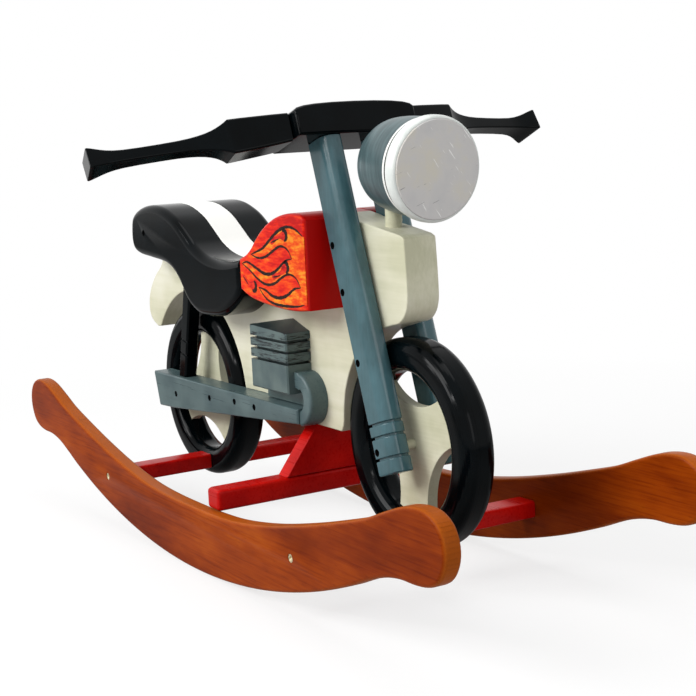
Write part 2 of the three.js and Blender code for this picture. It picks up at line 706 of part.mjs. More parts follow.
// A saw cut round a leaning leg: everything outside its heart over a narrow run.
function groove(foot, along, run, half, outer, side, depth) {
  const [low, high] = [run - GROOVE_WIDTH / 2, run + GROOVE_WIDTH / 2];
  const wide = leaning(foot, along, low, high, half + depth, half + depth);
  const narrow = leaning(foot, along, low - depth, high + depth, half - depth, half - depth);
  const ring = cheek(wide, side, 0, outer + depth, 0, 0);
  return ring.subtract(cheek(narrow, side, 0, outer - depth, 0, 0));
}

function strut(side, seat, pipe) {
  const half = STRUT_DEPTH / 2;
  const outline = leaning(strutFoot, strutAlong, 0, STRUT_LENGTH, half, half);
  let bar = cheek(outline, side, STRUT_INNER, STRUT_OUTER, STRUT_EDGE, STRUT_EDGE);
  for (const run of STRUT_GROOVES) {
    const depth = STRUT_GROOVE_DEPTH;
    bar = bar.subtract(groove(strutFoot, strutAlong, run, half, STRUT_OUTER, side, depth));
  }
  return bar.subtract(seat.translate([0, 0, -FIT])).subtract(pipe.translate([0, 0, FIT]));
}

// ---- Wheels ----

function tyre(centre) {
  const corners = [
    [WHEEL_RADIUS - TYRE_EDGE_OUT, CORE_HALF - TYRE_EDGE_OUT, TYRE_EDGE_OUT],
    [WHEEL_HOLE + TYRE_EDGE_IN, CORE_HALF - TYRE_EDGE_IN, TYRE_EDGE_IN],
    [WHEEL_HOLE + TYRE_EDGE_IN, TYRE_EDGE_IN - CORE_HALF, TYRE_EDGE_IN],
    [WHEEL_RADIUS - TYRE_EDGE_OUT, TYRE_EDGE_OUT - CORE_HALF, TYRE_EDGE_OUT],
  ];
  const loop = corners.flatMap(([radius, depth, corner], i) => {
    const turn = i * QUARTER_TURN;
    return arc([radius, depth], corner, turn, turn + QUARTER_TURN, arcSteps(corner));
  });
  const profile = [...loop, loop[0]].map(([radius, depth]) => new THREE.Vector2(radius, depth));
  const geometry = new THREE.LatheGeometry(profile, WHEEL_SIDES);
  geometry.translate(centre[0], 0, centre[1]);
  return solidOf(geometry);
}

// Round bites taken out of a disc; the outline walks into each bite and along each spoke's end.
function web(centre, firstTurn) {
  const reach = WEB_RIM + BITE_RADIUS - BITE_DEPTH;
  const cosine = (WEB_RIM ** 2 + reach ** 2 - BITE_RADIUS ** 2) / (2 * WEB_RIM * reach);
  const halfTurn = THREE.MathUtils.radToDeg(Math.acos(cosine));
  const pitch = FULL_TURN / BITE_COUNT;
  const sine = (WEB_RIM * Math.sin(THREE.MathUtils.degToRad(halfTurn))) / BITE_RADIUS;
  const halfBite = THREE.MathUtils.radToDeg(Math.asin(sine));
  const outline = [];
  for (let turn = firstTurn; turn < firstTurn + FULL_TURN; turn += pitch) {
    const [middle] = arc(centre, reach, turn, turn, 1);
    const facing = turn + FULL_TURN / 2;
    outline.push(...arc(middle, BITE_RADIUS, facing + halfBite, facing - halfBite, BITE_STEPS));
    const spoke = arc(centre, WEB_RIM, turn + halfTurn, turn + pitch - halfTurn, SPOKE_STEPS);
    outline.push(...spoke.slice(1, -1));
  }
  const plate = board(outline, [-WEB_HALF, WEB_HALF], [WEB_EDGE, WEB_EDGE]);
  return plate.subtract(rod(centre, AXLE_RADIUS + PIN_FIT, -AXLE_HALF, AXLE_HALF));
}

function axle(centre) {
  return rod(centre, AXLE_RADIUS, -AXLE_HALF, AXLE_HALF);
}
function axleHole(centre) {
  return rod(centre, AXLE_RADIUS + PIN_FIT, -AXLE_HALF - FIT, AXLE_HALF + FIT);
}

// ---- Fork ----

const rake = THREE.MathUtils.degToRad(RAKE);
const forkAlong = [-Math.sin(rake), Math.cos(rake)];
const forkAcross = [Math.cos(rake), Math.sin(rake)];

function forkPoint(run, across) {
  return [
    FRONT_WHEEL[0] + forkAlong[0] * run + forkAcross[0] * across,
    FRONT_WHEEL[1] + forkAlong[1] * run + forkAcross[1] * across,
  ];
}

// A leg's section, from its front inner corner round: full round in front, tight behind.
function forkSection() {
  const front = FORK_WIDTH / 2 - FORK_FRONT_EDGE;
  const rear = FORK_REAR_EDGE - FORK_WIDTH / 2;
  const corners = [
    [front, CHEEK_INNER + FORK_FRONT_EDGE, FORK_FRONT_EDGE, FORK_FRONT_STEPS],
    [front, FORK_OUTER - FORK_FRONT_EDGE, FORK_FRONT_EDGE, FORK_FRONT_STEPS],
    [rear, FORK_OUTER - FORK_REAR_EDGE, FORK_REAR_EDGE, FORK_REAR_STEPS],
    [rear, CHEEK_INNER + FORK_REAR_EDGE, FORK_REAR_EDGE, FORK_REAR_STEPS],
  ];
  return corners.flatMap(([across, off, corner, steps], i) => {
    const turn = (i - 1) * QUARTER_TURN;
    return arc([across, off], corner, turn, turn + QUARTER_TURN, steps);
  });
}

function forkLeg(side) {
  const section = forkSection();
  const shaped = side < 0 ? section : [...section].reverse();
  const stations = [
    [-FORK_BELOW_AXLE, FORK_REAR_EDGE],
    [FORK_REAR_EDGE - FORK_BELOW_AXLE, 0],
    [FORK_ABOVE_AXLE, 0],
  ];
  const middle = (CHEEK_INNER + FORK_OUTER) / 2;
  const rings = stations.map(([run, shrink]) =>
    shaped.map(([across, off]) => {
      const share = 1 - (2 * shrink) / FORK_WIDTH;
      const [x, z] = forkPoint(run, across * share);
      return [x, side * (middle + (off - middle) * share), z];
    }),
  );
  const flat = shaped.map(([across, off]) => new THREE.Vector2(across, side * off));
  const faces = THREE.ShapeUtils.triangulateShape(flat, []).map(([a, b, c]) => [a, c, b]);
  let leg = skin(rings, faces);
  const foot = forkPoint(-FORK_BELOW_AXLE, 0);
  for (const run of FORK_GROOVES) {
    const half = FORK_WIDTH / 2;
    leg = leg.subtract(groove(foot, forkAlong, run, half, FORK_OUTER, side, FORK_GROOVE_DEPTH));
  }
  return leg;
}

// ---- Handlebar ----

const yokeSeat = forkPoint(FORK_ABOVE_AXLE + FIT, 0);

// The yoke is drawn level, then leaned back with the fork and set on the tops of its legs.
function yoke() {
  const right = YOKE_ARCH_SHARES.map(([across, rise]) => [YOKE_HALF * across, YOKE_RISE * rise]);
  const left = right.slice(0, -1).map(([x, z]) => [-x, z]).reverse();
  const level = board([...right, ...left], [-YOKE_FRONT, YOKE_BACK], [YOKE_EDGE, YOKE_EDGE]);
  return level
    .rotate([0, 0, QUARTER_TURN])
    .rotate([0, -RAKE, 0])
    .translate([yokeSeat[0], 0, yokeSeat[1]]);
}

function handlePoint(label, side, share) {
  const [seatX, seatZ] = yokeSeat;
  const root = new THREE.Vector3(
    seatX - HANDLE_ROOT_BACK, side * (YOKE_HALF + HANDLE_GAP), seatZ + HANDLE_ROOT_RISE[label],
  );
  const tip = new THREE.Vector3(
    seatX - HANDLE_TIP_BACK, side * HANDLE_TIP_OUT, seatZ + HANDLE_TIP_RISE[label],
  );
  return root.lerp(tip, share);
}

// A carved handle: sections go from a squared root to a round waist and a flared end.
function handle(label, side) {
  const rings = HANDLE_STATION_SHARES.map(([share, widthShare, heightShare, square]) => {
    const middle = handlePoint(label, side, share);
    const ring = [];
    for (let step = 0; step < HANDLE_SIDES; step += 1) {
      const turn = (2 * Math.PI * step) / HANDLE_SIDES;
      const [c, s] = [Math.cos(turn), Math.sin(turn)];
      const swell = (Math.abs(c) ** square + Math.abs(s) ** square) ** (-1 / square);
      const x = (HANDLE_WIDTH * widthShare * c * swell) / 2;
      const z = (HANDLE_HEIGHT * heightShare * s * swell) / 2;
      const leanX = x * Math.cos(rake) - z * Math.sin(rake);
      const leanZ = x * Math.sin(rake) + z * Math.cos(rake);
      ring.push([middle.x + leanX, middle.y, middle.z + leanZ]);
    }
    return side < 0 ? ring.reverse() : ring;
  });
  const faces = [];
  for (let step = 1; step + 1 < HANDLE_SIDES; step += 1) faces.push([0, step, step + 1]);
  return skin(rings, faces);
}

function handlePin(label, side, growth) {
  const root = handlePoint(label, side, 0);
  const from = side * (YOKE_HALF - HANDLE_PIN_REACH - growth);
  const to = root.y + side * (HANDLE_PIN_REACH + growth);
  return rod([root.x, root.z], HANDLE_PIN_RADIUS + growth, from, to);
}

// ---- Headlight ----

function lampPiece(stations) {
  const geometry = turned(stations.map(([run, radius]) => [radius, run]), LAMP_SIDES);
  geometry.rotateZ(-Math.PI / 2);
  geometry.rotateY(THREE.MathUtils.degToRad(LAMP_PITCH));
  geometry.translate(LAMP_FACE[0], 0, AXLE_LINE + LAMP_FACE[1]);
  return solidOf(geometry);
}

// ---- Everything with a right and a left copy ----

let frontTyre = tyre(FRONT_WHEEL);
let rearTyre = tyre(REAR_WHEEL);
for (const [, x] of RAIL_ENDS) {
  const through = rod([x, RAIL_Z], TENON_RADIUS + PIN_FIT, -TENON_REACH, TENON_REACH);
  frontTyre = frontTyre.subtract(through);
  rearTyre = rearTyre.subtract(through);
}

let yokeBody = yoke();
for (const [label, side] of SIDES) {
  let seat = cheek(seatOutline, side, CHEEK_INNER, CHEEK_OUTER, CHEEK_EDGE, 0);
  let pipe = cheek(lifted(PIPE_OUTLINE), side, CHEEK_INNER, PIPE_OUTER, PIPE_EDGE, 0);
  place(`shock_strut_${label}`, strut(side, seat, pipe), BLACK);

  const [seatScrew] = lifted([SEAT_SCREW]);
  const seatSpot = [seatScrew, side, CHEEK_OUTER, SEAT_SINK, SCREW_LONG, HEAD_RADIUS];
  const seatHole = screwHole(...seatSpot);
  seat = seat.subtract(seatHole);
  core = core.subtract(seatHole);
  place(`seat_screw_${label}`, screw(...seatSpot), DARK_STEEL);
  place(`seat_cheek_${label}`, seat, BLACK);

  const tank = cheek(tankOutline, side, CHEEK_INNER, CHEEK_OUTER, CHEEK_EDGE, 0);
  place(`tank_cheek_${label}`, tank, RED);
  place(`engine_block_${label}`, engineBlock(side), SLATE);
  const bend = cheek(bendOutline(), side, CHEEK_INNER, BEND_OUTER, BEND_EDGE, 0);
  place(`exhaust_bend_${label}`, bend, SLATE);

  pipe = pipe.subtract(axleHole(REAR_WHEEL));
  PIPE_SCREWS.forEach(([x, height, length], i) => {
    const spot = [[x, AXLE_LINE + height], side, PIPE_OUTER, SCREW_SINK, length, HEAD_RADIUS];
    const hole = screwHole(...spot);
    pipe = pipe.subtract(hole);
    core = core.subtract(hole);
    rearTyre = rearTyre.subtract(hole);
    place(`exhaust_screw_${i + 1}_${label}`, screw(...spot), DARK_STEEL);
  });
  place(`exhaust_pipe_${label}`, pipe, SLATE);

  let leg = forkLeg(side).subtract(axleHole(FRONT_WHEEL));
  FORK_SCREWS.forEach(([run, length], i) => {
    const centre = forkPoint(run, -FORK_SCREW_BACK);
    const spot = [centre, side, FORK_OUTER, SCREW_SINK, length, HEAD_RADIUS];
    const hole = screwHole(...spot);
    leg = leg.subtract(hole);
    core = core.subtract(hole);
    frontTyre = frontTyre.subtract(hole);
    place(`fork_screw_${i + 1}_${label}`, screw(...spot), DARK_STEEL);
  });
  place(`fork_leg_${label}`, leg, SLATE);

  const grip = handle(label, side).subtract(handlePin(label, side, PIN_FIT));
  place(`handle_${label}`, grip, BLACK);
  yokeBody = yokeBody.add(handlePin(label, side, 0));
}

place("body_core", core, CREAM);
place("front_tyre", frontTyre, BLACK);
place("rear_tyre", rearTyre, BLACK);
place("front_spider", web(FRONT_WHEEL, FRONT_BITE_TURN), CREAM);
place("rear_spider", web(REAR_WHEEL, REAR_BITE_TURN), CREAM);
place("front_axle", axle(FRONT_WHEEL), CREAM);
place("rear_axle", axle(REAR_WHEEL), CREAM);
place("handlebar_yoke", yokeBody, BLACK);

const postHole = post(POST_RADIUS + PIN_FIT, 0, POST_TOP + FIT);
place("headlight_bucket", lampPiece(LAMP_BUCKET).subtract(postHole), SLATE);
place("headlight_rim", lampPiece(LAMP_RIM), WHITE);
place("headlight_lens", lampPiece(LAMP_LENS), LILAC);
place("headlight_post", post(POST_RADIUS, POST_BOTTOM, POST_TOP), CREAM);

export default bike;
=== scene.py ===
# %% [markdown]
# # A wooden rocking motorcycle
# The toy is sawn from flat boards, rounded over, painted and screwed together. Its solids come
# packed from the CAD model. This lesson dresses them: boards that show their curves are cut again
# with finer edges, plain pieces get a softened copy, and every surface gets a real finish.
# The toy's own lengths are millimetres, with +X to the front wheel and +Z up. The camera, the lamps
# and the places that materials compare are metres, as Blender holds them.

import math
from contextlib import contextmanager

import bpy
from mathutils import Matrix, Vector
from mathutils.geometry import interpolate_bezier


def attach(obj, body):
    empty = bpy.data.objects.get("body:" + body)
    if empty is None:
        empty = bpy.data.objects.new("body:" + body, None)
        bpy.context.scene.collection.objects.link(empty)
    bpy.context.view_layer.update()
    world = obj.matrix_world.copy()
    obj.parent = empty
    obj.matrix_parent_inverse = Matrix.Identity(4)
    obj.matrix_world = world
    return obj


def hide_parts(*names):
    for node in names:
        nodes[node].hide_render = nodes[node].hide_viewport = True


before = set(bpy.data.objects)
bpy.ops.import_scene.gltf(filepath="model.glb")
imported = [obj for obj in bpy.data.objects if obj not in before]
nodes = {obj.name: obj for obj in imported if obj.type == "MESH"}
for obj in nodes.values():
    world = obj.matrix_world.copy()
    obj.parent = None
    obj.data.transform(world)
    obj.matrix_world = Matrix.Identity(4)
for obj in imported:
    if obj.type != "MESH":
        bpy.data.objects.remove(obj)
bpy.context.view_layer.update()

# %% [markdown]
# ## Camera
# The photograph was taken from the front right corner, a little above the saddle. A camera is
# set by its place, its turn and its lens. These were solved from edges that mirror each other on
# the toy, so the render can be laid over the photograph.

# %% Place the camera
bpy.ops.object.camera_add(location=(1.35223, -0.77879, 0.4468))
camera = bpy.context.object
camera.rotation_euler = [math.radians(turn) for turn in (81.591, 2.805, 59.176)]
camera.data.sensor_width = 36
camera.data.lens = 76.01
camera.data.shift_x = 0.0483
camera.data.shift_y = -0.0025
bpy.context.scene.camera = camera
print("camera lens:", camera.data.lens, "mm")

# %% [markdown]
# ## Small tools
# A few helpers keep the later cells short. The first takes colours as they are written on a
# screen and turns them to the linear values that shaders use. The next two add one shader node
# with its settings and its links, because a finish is only a handful of such nodes. The last two
# make the noises that most finishes share: soft clouds, and marks drawn out along a grain.

# %% Colour and shader helpers
def linear(hex_code):
    """A #rrggbb colour as the linear RGBA of a shader socket."""
    parts = [int(hex_code[i:i + 2], 16) / 255 for i in (1, 3, 5)]
    return [p / 12.92 if p <= 0.04045 else ((p + 0.055) / 1.055) ** 2.4 for p in parts] + [1]


def feed(tree, node, **inputs):
    """Sets a node's inputs. Each takes a value, an output, or a node for its first output in use.
    The input i6 is number 6: a Mix node has its share at 0 and its two colours at 6 and 7."""
    for key, source in inputs.items():
        socket = node.inputs[int(key[1:])] if key[1:].isdigit() else node.inputs[key.replace("_", " ")]
        if isinstance(source, bpy.types.Node):
            source = next(output for output in source.outputs if output.enabled)
        if isinstance(source, bpy.types.NodeSocket):
            tree.links.new(source, socket)
        else:
            socket.default_value = source


def add(tree, kind, settings=None, stops=None, **inputs):
    """Adds a shader node with its settings, the stops of its ramp and its inputs. A setting in
    one word is the operation of a math node."""
    made = tree.nodes.new("ShaderNode" + kind)
    if isinstance(settings, str):
        settings = {"operation": settings}
    for key, value in (settings or {}).items():
        setattr(made, key, value)
    for place, colour in stops or []:
        ramp = made.color_ramp.elements
        stop = ramp[0] if place == stops[0][0] else ramp[-1]
        if place not in (stops[0][0], stops[-1][0]):
            stop = ramp.new(place)
        stop.position = place
        stop.color = linear(colour)
    feed(tree, made, **inputs)
    return made


def finish_named(name):
    """A new material, its node tree, its shader, and the place on the toy that its patterns read."""
    material = bpy.data.materials.new(name)
    material.use_nodes = True
    tree = material.node_tree
    place = add(tree, "TexCoord").outputs["Object"]
    return material, tree, tree.nodes["Principled BSDF"], place


def clouded(tree, place, scale, stops, detail=3.0, roughness=0.5):
    """Tones that drift in soft clouds."""
    clouds = add(tree, "TexNoise", Vector=place, Scale=scale, Detail=detail, Roughness=roughness)
    return add(tree, "ValToRGB", Fac=clouds, stops=stops)


def drawn_out(tree, place, scale, detail=4.0, roughness=0.6, turned_by=(0, 0, 0)):
    """Noise drawn out along the axes of small scale, as grain, brush marks and scratches are."""
    lie = add(tree, "Mapping", Vector=place, Rotation=turned_by, Scale=scale)
    return add(tree, "TexNoise", Vector=lie, Scale=1.0, Detail=detail, Roughness=roughness)


COLOURS = {"data_type": "RGBA"}
print("red as linear values:", [round(v, 3) for v in linear("#c4160f")])

# %% [markdown]
# ## Lines
# Nearly every piece is a board with a sawn outline. The line runs softly through a few knots, as
# a bent batten would lie on the wood, and its round stretches are arcs.

# %% Soft lines and arcs
def soft_line(knots, step=4.0):
    """Points about a step apart on a soft line through [x, z] knots."""
    knots = [Vector((x, 0, z)) for x, z in knots]
    line = [knots[0]]
    for i in range(len(knots) - 1):
        here, there = knots[i], knots[i + 1]
        gap = (there - here).length
        lead = (there - knots[max(i - 1, 0)]).normalized() * gap / 3
        trail = (knots[min(i + 2, len(knots) - 1)] - here).normalized() * gap / 3
        count = max(2, math.ceil(gap / step) + 1)
        line += interpolate_bezier(here, here + lead, there - trail, there, count)[1:]
    return [(point.x, point.z) for point in line]


def arc(centre, radius, start, end, count):
    turns = [math.radians(start + (end - start) * i / count) for i in range(count + 1)]
    return [(centre[0] + radius * math.cos(t), centre[1] + radius * math.sin(t)) for t in turns]


print("a 90 degree arc of 4 steps:", [tuple(round(v) for v in p) for p in arc((0, 0), 10, 0, 90, 4)])

# %% [markdown]
# ## Selecting, editing and shading
# An operator acts on all that is selected, so a piece is selected alone first, and work in edit
# mode starts with all of its mesh selected. A modifier is added, set and applied in one go.
# Normals weighted by the area of the faces keep a flat face flat beside a rounded edge.

# %% Tools for one piece
def only(piece):
    bpy.ops.object.select_all(action="DESELECT")
    piece.select_set(True)
    bpy.context.view_layer.objects.active = piece


@contextmanager
def editing(piece):
    """Edit mode with the whole mesh selected, and object mode again at the end."""
    only(piece)
    bpy.ops.object.mode_set(mode="EDIT")
    bpy.ops.mesh.select_all(action="SELECT")
    yield
    bpy.ops.object.mode_set(mode="OBJECT")


def modified(piece, kind, **settings):
    """Adds one modifier with its settings and applies it."""
    only(piece)
    bpy.ops.object.modifier_add(type=kind)
    added = piece.modifiers[-1]
    for key, value in settings.items():
        setattr(added, key, value)
    bpy.ops.object.modifier_apply(modifier=added.name)


def tidy_normals(piece):
    with editing(piece):
        bpy.ops.mesh.normals_make_consistent(inside=False)


def even_shading(piece, angle=34):
    """Smooth shading that keeps flat faces flat."""
    only(piece)
    bpy.ops.object.shade_smooth_by_angle(angle=math.radians(angle))
    modified(piece, "WEIGHTED_NORMAL", keep_sharp=True)


def started(add_primitive, name=None, **settings):
    """A new primitive with nothing else selected, as the start of a piece."""
    bpy.ops.object.select_all(action="DESELECT")
    add_primitive(**settings)
    piece = bpy.context.object
    if name:
        piece.name = piece.data.name = name
    return piece


# %% [markdown]
# ## Boards
# A board is a filled circle whose corners are set on its outline. It is extruded to the board's
# thickness, and its face edges are rounded by the bevel tool. The board for the toy's other side
# is a mirrored copy with its own mesh.

# %% Cut and mirror a board
SHARP = math.radians(70)


def deselect_behind(piece, limit):
    """Keeps only the selected edges that reach past a limit in x, in metres."""
    bpy.ops.mesh.select_mode(type="EDGE")
    bpy.ops.object.mode_set(mode="OBJECT")
    points = piece.data.vertices
    rounded = [
        line.select and max(points[i].co.x for i in line.vertices) > limit
        for line in piece.data.edges
    ]
    for kind in (piece.data.polygons, piece.data.vertices):
        kind.foreach_set("select", [False] * len(kind))
    piece.data.edges.foreach_set("select", rounded)
    bpy.ops.object.mode_set(mode="EDIT")


def cut_board(name, outline, inner, outer, edge, both=False, segments=5, square_behind=None):
    """A board on an [x, z] outline, from one depth to the other, its edges rounded over.
    Edges behind the x given last stay square, because the board meets its neighbour there."""
    piece = started(
        bpy.ops.mesh.primitive_circle_add, name, vertices=len(outline), radius=0.1, fill_type="NGON"
    )
    for vertex, (x, z) in zip(piece.data.vertices, outline):
        vertex.co = Vector((x, inner, z)) / 1000
    with editing(piece):
        push = (0, (outer - inner) / 1000, 0)
        bpy.ops.mesh.extrude_region_move(TRANSFORM_OT_translate={"value": push})
        if both:
            bpy.ops.mesh.select_all(action="DESELECT")
            bpy.ops.mesh.edges_select_sharp(sharpness=SHARP)
        if square_behind is not None:
            deselect_behind(piece, square_behind / 1000)
        if edge:
            bpy.ops.mesh.bevel(
                offset=edge / 1000, segments=segments, affect="EDGES", clamp_overlap=False
            )
        bpy.ops.mesh.select_mode(type="VERT")
    tidy_normals(piece)
    even_shading(piece)
    return piece


def mirrored(piece, name):
    """The other side's copy of a piece, with its own mesh."""
    twin = piece.copy()
    twin.data = piece.data.copy()
    twin.name = twin.data.name = name
    bpy.context.collection.objects.link(twin)
    twin.data.transform(Matrix.Scale(-1, 4, (0, 1, 0)))
    twin.data.flip_normals()
    return twin


print("outline corners over", round(math.degrees(SHARP)), "degrees count as edges of a face")

# %% [markdown]
# ## Holes and skins
# A hole is the cut of a round bar taken out of the piece. Carved and turned pieces are skins: a
# circle is extruded from ring to ring, each ring is set to its place, and the two ends are closed.

# %% Drill and loft
def cut_away(piece, bit):
    """Takes a tool shape out of a piece and clears the tool away."""
    modified(piece, "BOOLEAN", object=bit, solver="MANIFOLD")
    bpy.data.objects.remove(bit)


OVERRUN = 3


def drill(piece, centre, radius, start, end):
    """Cuts a round hole along Y. Where it meets the open, it starts an overrun outside."""
    cut_away(piece, started(
        bpy.ops.mesh.primitive_cylinder_add,
        vertices=32,
        radius=radius / 1000,
        depth=abs(end - start) / 1000,
        location=Vector((centre[0], (start + end) / 2, centre[1])) / 1000,
        rotation=(math.radians(90), 0, 0),
    ))


def lofted(name, rings):
    """A skin through rings of points in mm. A circle is extruded from each ring to the next."""
    sides = len(rings[0])
    piece = started(
        bpy.ops.mesh.primitive_circle_add, name, vertices=sides, radius=0.01, fill_type="NOTHING"
    )
    for number, ring in enumerate(rings):
        if number:
            bpy.ops.object.mode_set(mode="EDIT")
            bpy.ops.mesh.extrude_region_move(TRANSFORM_OT_translate={"value": (0, 0, 0.001)})
            bpy.ops.object.mode_set(mode="OBJECT")
        for vertex, point in zip(piece.data.vertices[number * sides:(number + 1) * sides], ring):
            vertex.co = Vector(point) / 1000
    with editing(piece):
        bpy.ops.mesh.region_to_loop()
        bpy.ops.mesh.edge_face_add()
    tidy_normals(piece)
    return piece


# %% [markdown]
# ## Keeping a piece
# The toy is one rigid body, so every finished piece rides on its root. A piece also says which
# solid it stands for.

# %% Keep a piece, paint shade in its bores
PIECES = {}


def keep(piece, finish, *stands_for, slot=None):
    """Gives a piece its finish and says which solids of the frame it stands for."""
    piece.data.materials.clear()
    piece.data.materials.append(finish)
    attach(piece, "root")
    if stands_for:
        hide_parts(*stands_for)
    PIECES[piece.name] = piece
    return piece


def keep_pair(right, finish, solid=None, slot=None):
    """Keeps a piece of the right side and its mirror image, for a solid named without its side."""
    pair = (right, mirrored(right, right.name.replace("right", "left")))
    for piece, side in zip(pair, ("right", "left")):
        keep(piece, finish, *([f"{solid}_{side}"] if solid else []), slot=slot)
    return pair


def paint_bore_shade(piece, finish, centres, radius, depth):
    """Paints the faces inside holes drilled along Y, deeper than a depth, with a second finish as painted
    shade.
    """
    piece.data.materials.append(finish)
    for face in piece.data.polygons:
        middle = face.center * 1000
        near = min(math.hypot(middle.x - x, middle.z - z) for x, z in centres)
        if near < radius and abs(middle.y) < depth:
            face.material_index = 1


print("pieces kept so far:", len(PIECES))

# %% [markdown]
# ## Stained and varnished birch
# The rockers are birch boards wiped with an orange-brown stain and sealed with satin varnish. The
# stain sinks unevenly, so the colour drifts over hand-wide patches, with fine darker fibres along
# the board and a few dark pores. Every face that does not look sideways gets a lighter tone, which
# is rub wear on the rounded edges and painted light on the tops, ends and undersides. Fibres of
# birch lie under 1 mm apart, and are drawn at 2 mm here so that they show at all.

# %% Stained birch
stained_birch, tree, shader, place = finish_named("stained_birch")
fibres = drawn_out(tree, place, (16, 520, 520), roughness=0.62)
patches = drawn_out(tree, place, (5, 16, 15))
stain = add(
    tree, "ValToRGB", Fac=patches,
    stops=[(0.3, "#642001"), (0.45, "#803002"), (0.6, "#974004"), (0.76, "#b15909")],
)
fibre_tone = add(
    tree, "ValToRGB", Fac=fibres,
    stops=[(0.3, "#bd9478"), (0.5, "#f4e6da"), (0.7, "#ffffff")],
)
body = add(
    tree, "Mix", COLOURS | {"blend_type": "MULTIPLY"},
    i0=0.7, i6=stain, i7=fibre_tone,
)
pore_space = add(tree, "Mapping", Vector=place, Scale=(45, 140, 140))
pores = add(tree, "TexVoronoi", Vector=pore_space, Scale=1.0)
pore_mask = add(
    tree, "ValToRGB", Fac=pores, stops=[(0.05, "#8a8a8a"), (0.13, "#000000")],
)
dotted = add(
    tree, "Mix", COLOURS, i0=pore_mask, i6=body, i7=linear("#4a1a02"),
)
# Painted light and wear: faces that turn away from the side are lightened by their normal. This is rub
# wear on the rounded edges and painted light on the tops, ends and undersides.
turn = add(tree, "SeparateXYZ", Vector=add(tree, "NewGeometry").outputs["Normal"])
flatness = add(tree, "Math", "ABSOLUTE", i0=turn.outputs["Y"])
rub_and_light = add(tree, "MapRange", Value=flatness, From_Min=0.97, From_Max=0.55, To_Max=0.55)
rubbed_and_lit = add(
    tree, "Mix", COLOURS, i0=rub_and_light, i6=dotted, i7=linear("#b8601a"),
)
relief = add(tree, "Bump", Strength=0.14, Distance=0.0004, Height=fibres)
feed(tree, shader, Base_Color=rubbed_and_lit, Roughness=0.36, Specular_IOR_Level=0.05, Normal=relief)
print("stained birch nodes:", len(tree.nodes))

# %% [markdown]
# ## Brushed enamel
# Everything else is brush-painted with enamel over sanded wood. A brush leaves faint streaks a
# millimetre or two apart, and the paint settles to slightly different tones. One recipe serves
# all the colours: two tones mixed by slow patches, streaks in the roughness, and a little relief.

# %% The enamel recipe
def enamel(name, low, high, rough, grain=(12, 380, 380), relief=0.06, specular=0.5, uneven=0.18):
    material, tree, shader, place = finish_named(name)
    patches = add(tree, "TexNoise", Vector=place, Scale=26.0, Detail=3.0, Roughness=0.5)
    streaks = drawn_out(tree, place, grain, detail=3.0)
    blend = add(tree, "Math", "MULTIPLY_ADD", i0=streaks, i1=0.35, i2=patches)
    tone = add(tree, "ValToRGB", Fac=blend, stops=[(0.5, low), (0.85, high)])
    sheen = add(
        tree, "MapRange", Value=streaks,
        From_Min=0.3, From_Max=0.7, To_Min=rough * (1 - uneven), To_Max=rough * (1 + uneven),
    )
    bump = add(tree, "Bump", Strength=relief, Distance=0.0005, Height=streaks)
    feed(tree, shader, Base_Color=tone, Roughness=sheen, Specular_IOR_Level=specular, Normal=bump)
    return material


red_enamel = enamel("red_enamel", "#ac0806", "#cc120a", 0.3, specular=0.1)
black_lacquer = enamel(
    "black_lacquer", "#000203", "#03080b", 0.13, relief=0.003, specular=0.08, uneven=0.03,
)
slate_enamel = enamel("slate_enamel", "#44575a", "#586b6c", 0.32, specular=0.25)
fork_enamel = enamel(
    "fork_enamel", "#38565c", "#476a72", 0.22, grain=(300, 300, 14), relief=0.02, specular=0.4,
)
cream_enamel = enamel("cream_enamel", "#c4c3a6", "#dad8c0", 0.4, specular=0.2)
print("enamels:", [m.name for m in bpy.data.materials if "enamel" in m.name])

# %% [markdown]
# ## Screw metals
# The rocker screws are yellow-zinc steel and sit in plain view. The others lie deep in
# counterbores, where only a dark round shows, so they get a plain near-black finish as painted
# shade, the same one that lines the walls of the bores. A metal's colour is its reflection, so the
# base colour of the zinc is that of the plating.

# %% Screw finishes
def steel(name, scale, dark, light, **looks):
    material, tree, shader, place = finish_named(name)
    tone = clouded(tree, place, scale, [(0.35, dark), (0.7, light)], detail=2.0)
    feed(tree, shader, Base_Color=tone, **looks)
    return material


zinc_steel = steel("yellow_zinc_steel", 900.0, "#cdbf92", "#f2ead0", Metallic=1.0, Roughness=0.45)
bore_shade_steel = steel(
    "steel_for_bore_shade", 700.0, "#040405", "#131415", Roughness=0.6, Specular_IOR_Level=0.15
)
print("metals:", zinc_steel.name, bore_shade_steel.name)

# %% [markdown]
# ## Rockers
# Each rocker is one board. Its foot is a long arc that rolls on the floor; both ends swell to a
# round head behind a narrow waist. The two ends mirror each other, so only the front half is
# listed. The arc and the heads join without a corner, and both faces are rounded by a router.

# %% Cut the rockers
ROCKER_HALF = [
    (315, 58.3), (340, 68.6), (365, 77.5), (390, 82.2), (414, 82.8), (432, 85.5), (446, 92.5),
    (454.5, 105), (457, 118), (454, 131), (446, 141), (432, 147.3), (414, 147.8), (395, 144),
    (370, 135), (341, 123.8), (302, 112.5), (244, 97.3), (175, 82), (107, 71.5), (55, 68), (0, 67.3),
]
ROLLING_RADIUS, ROLLING_HALF, FLOOR_GAP = 880, 300, 0.1
ROCKER_INNER, ROCKER_OUTER = 129, 147
RAIL_SCREW, RAIL_BORE, RAIL_SINK = (212.8, 59.5), 4.5, 3.2
rolling = [
    (x, ROLLING_RADIUS - math.sqrt(ROLLING_RADIUS ** 2 - x ** 2) + FLOOR_GAP)
    for x in range(-ROLLING_HALF, ROLLING_HALF + 1, 12)
]
front = ROCKER_HALF[:-1]
back = [(-x, z) for x, z in reversed(front)]
rocker_line = soft_line(rolling + front + [ROCKER_HALF[-1]] + back + [rolling[0]], 5)[:-1]
rocker_right = cut_board(
    "rocker_board_right", rocker_line, -ROCKER_INNER, -ROCKER_OUTER, 4, both=True, segments=4
)
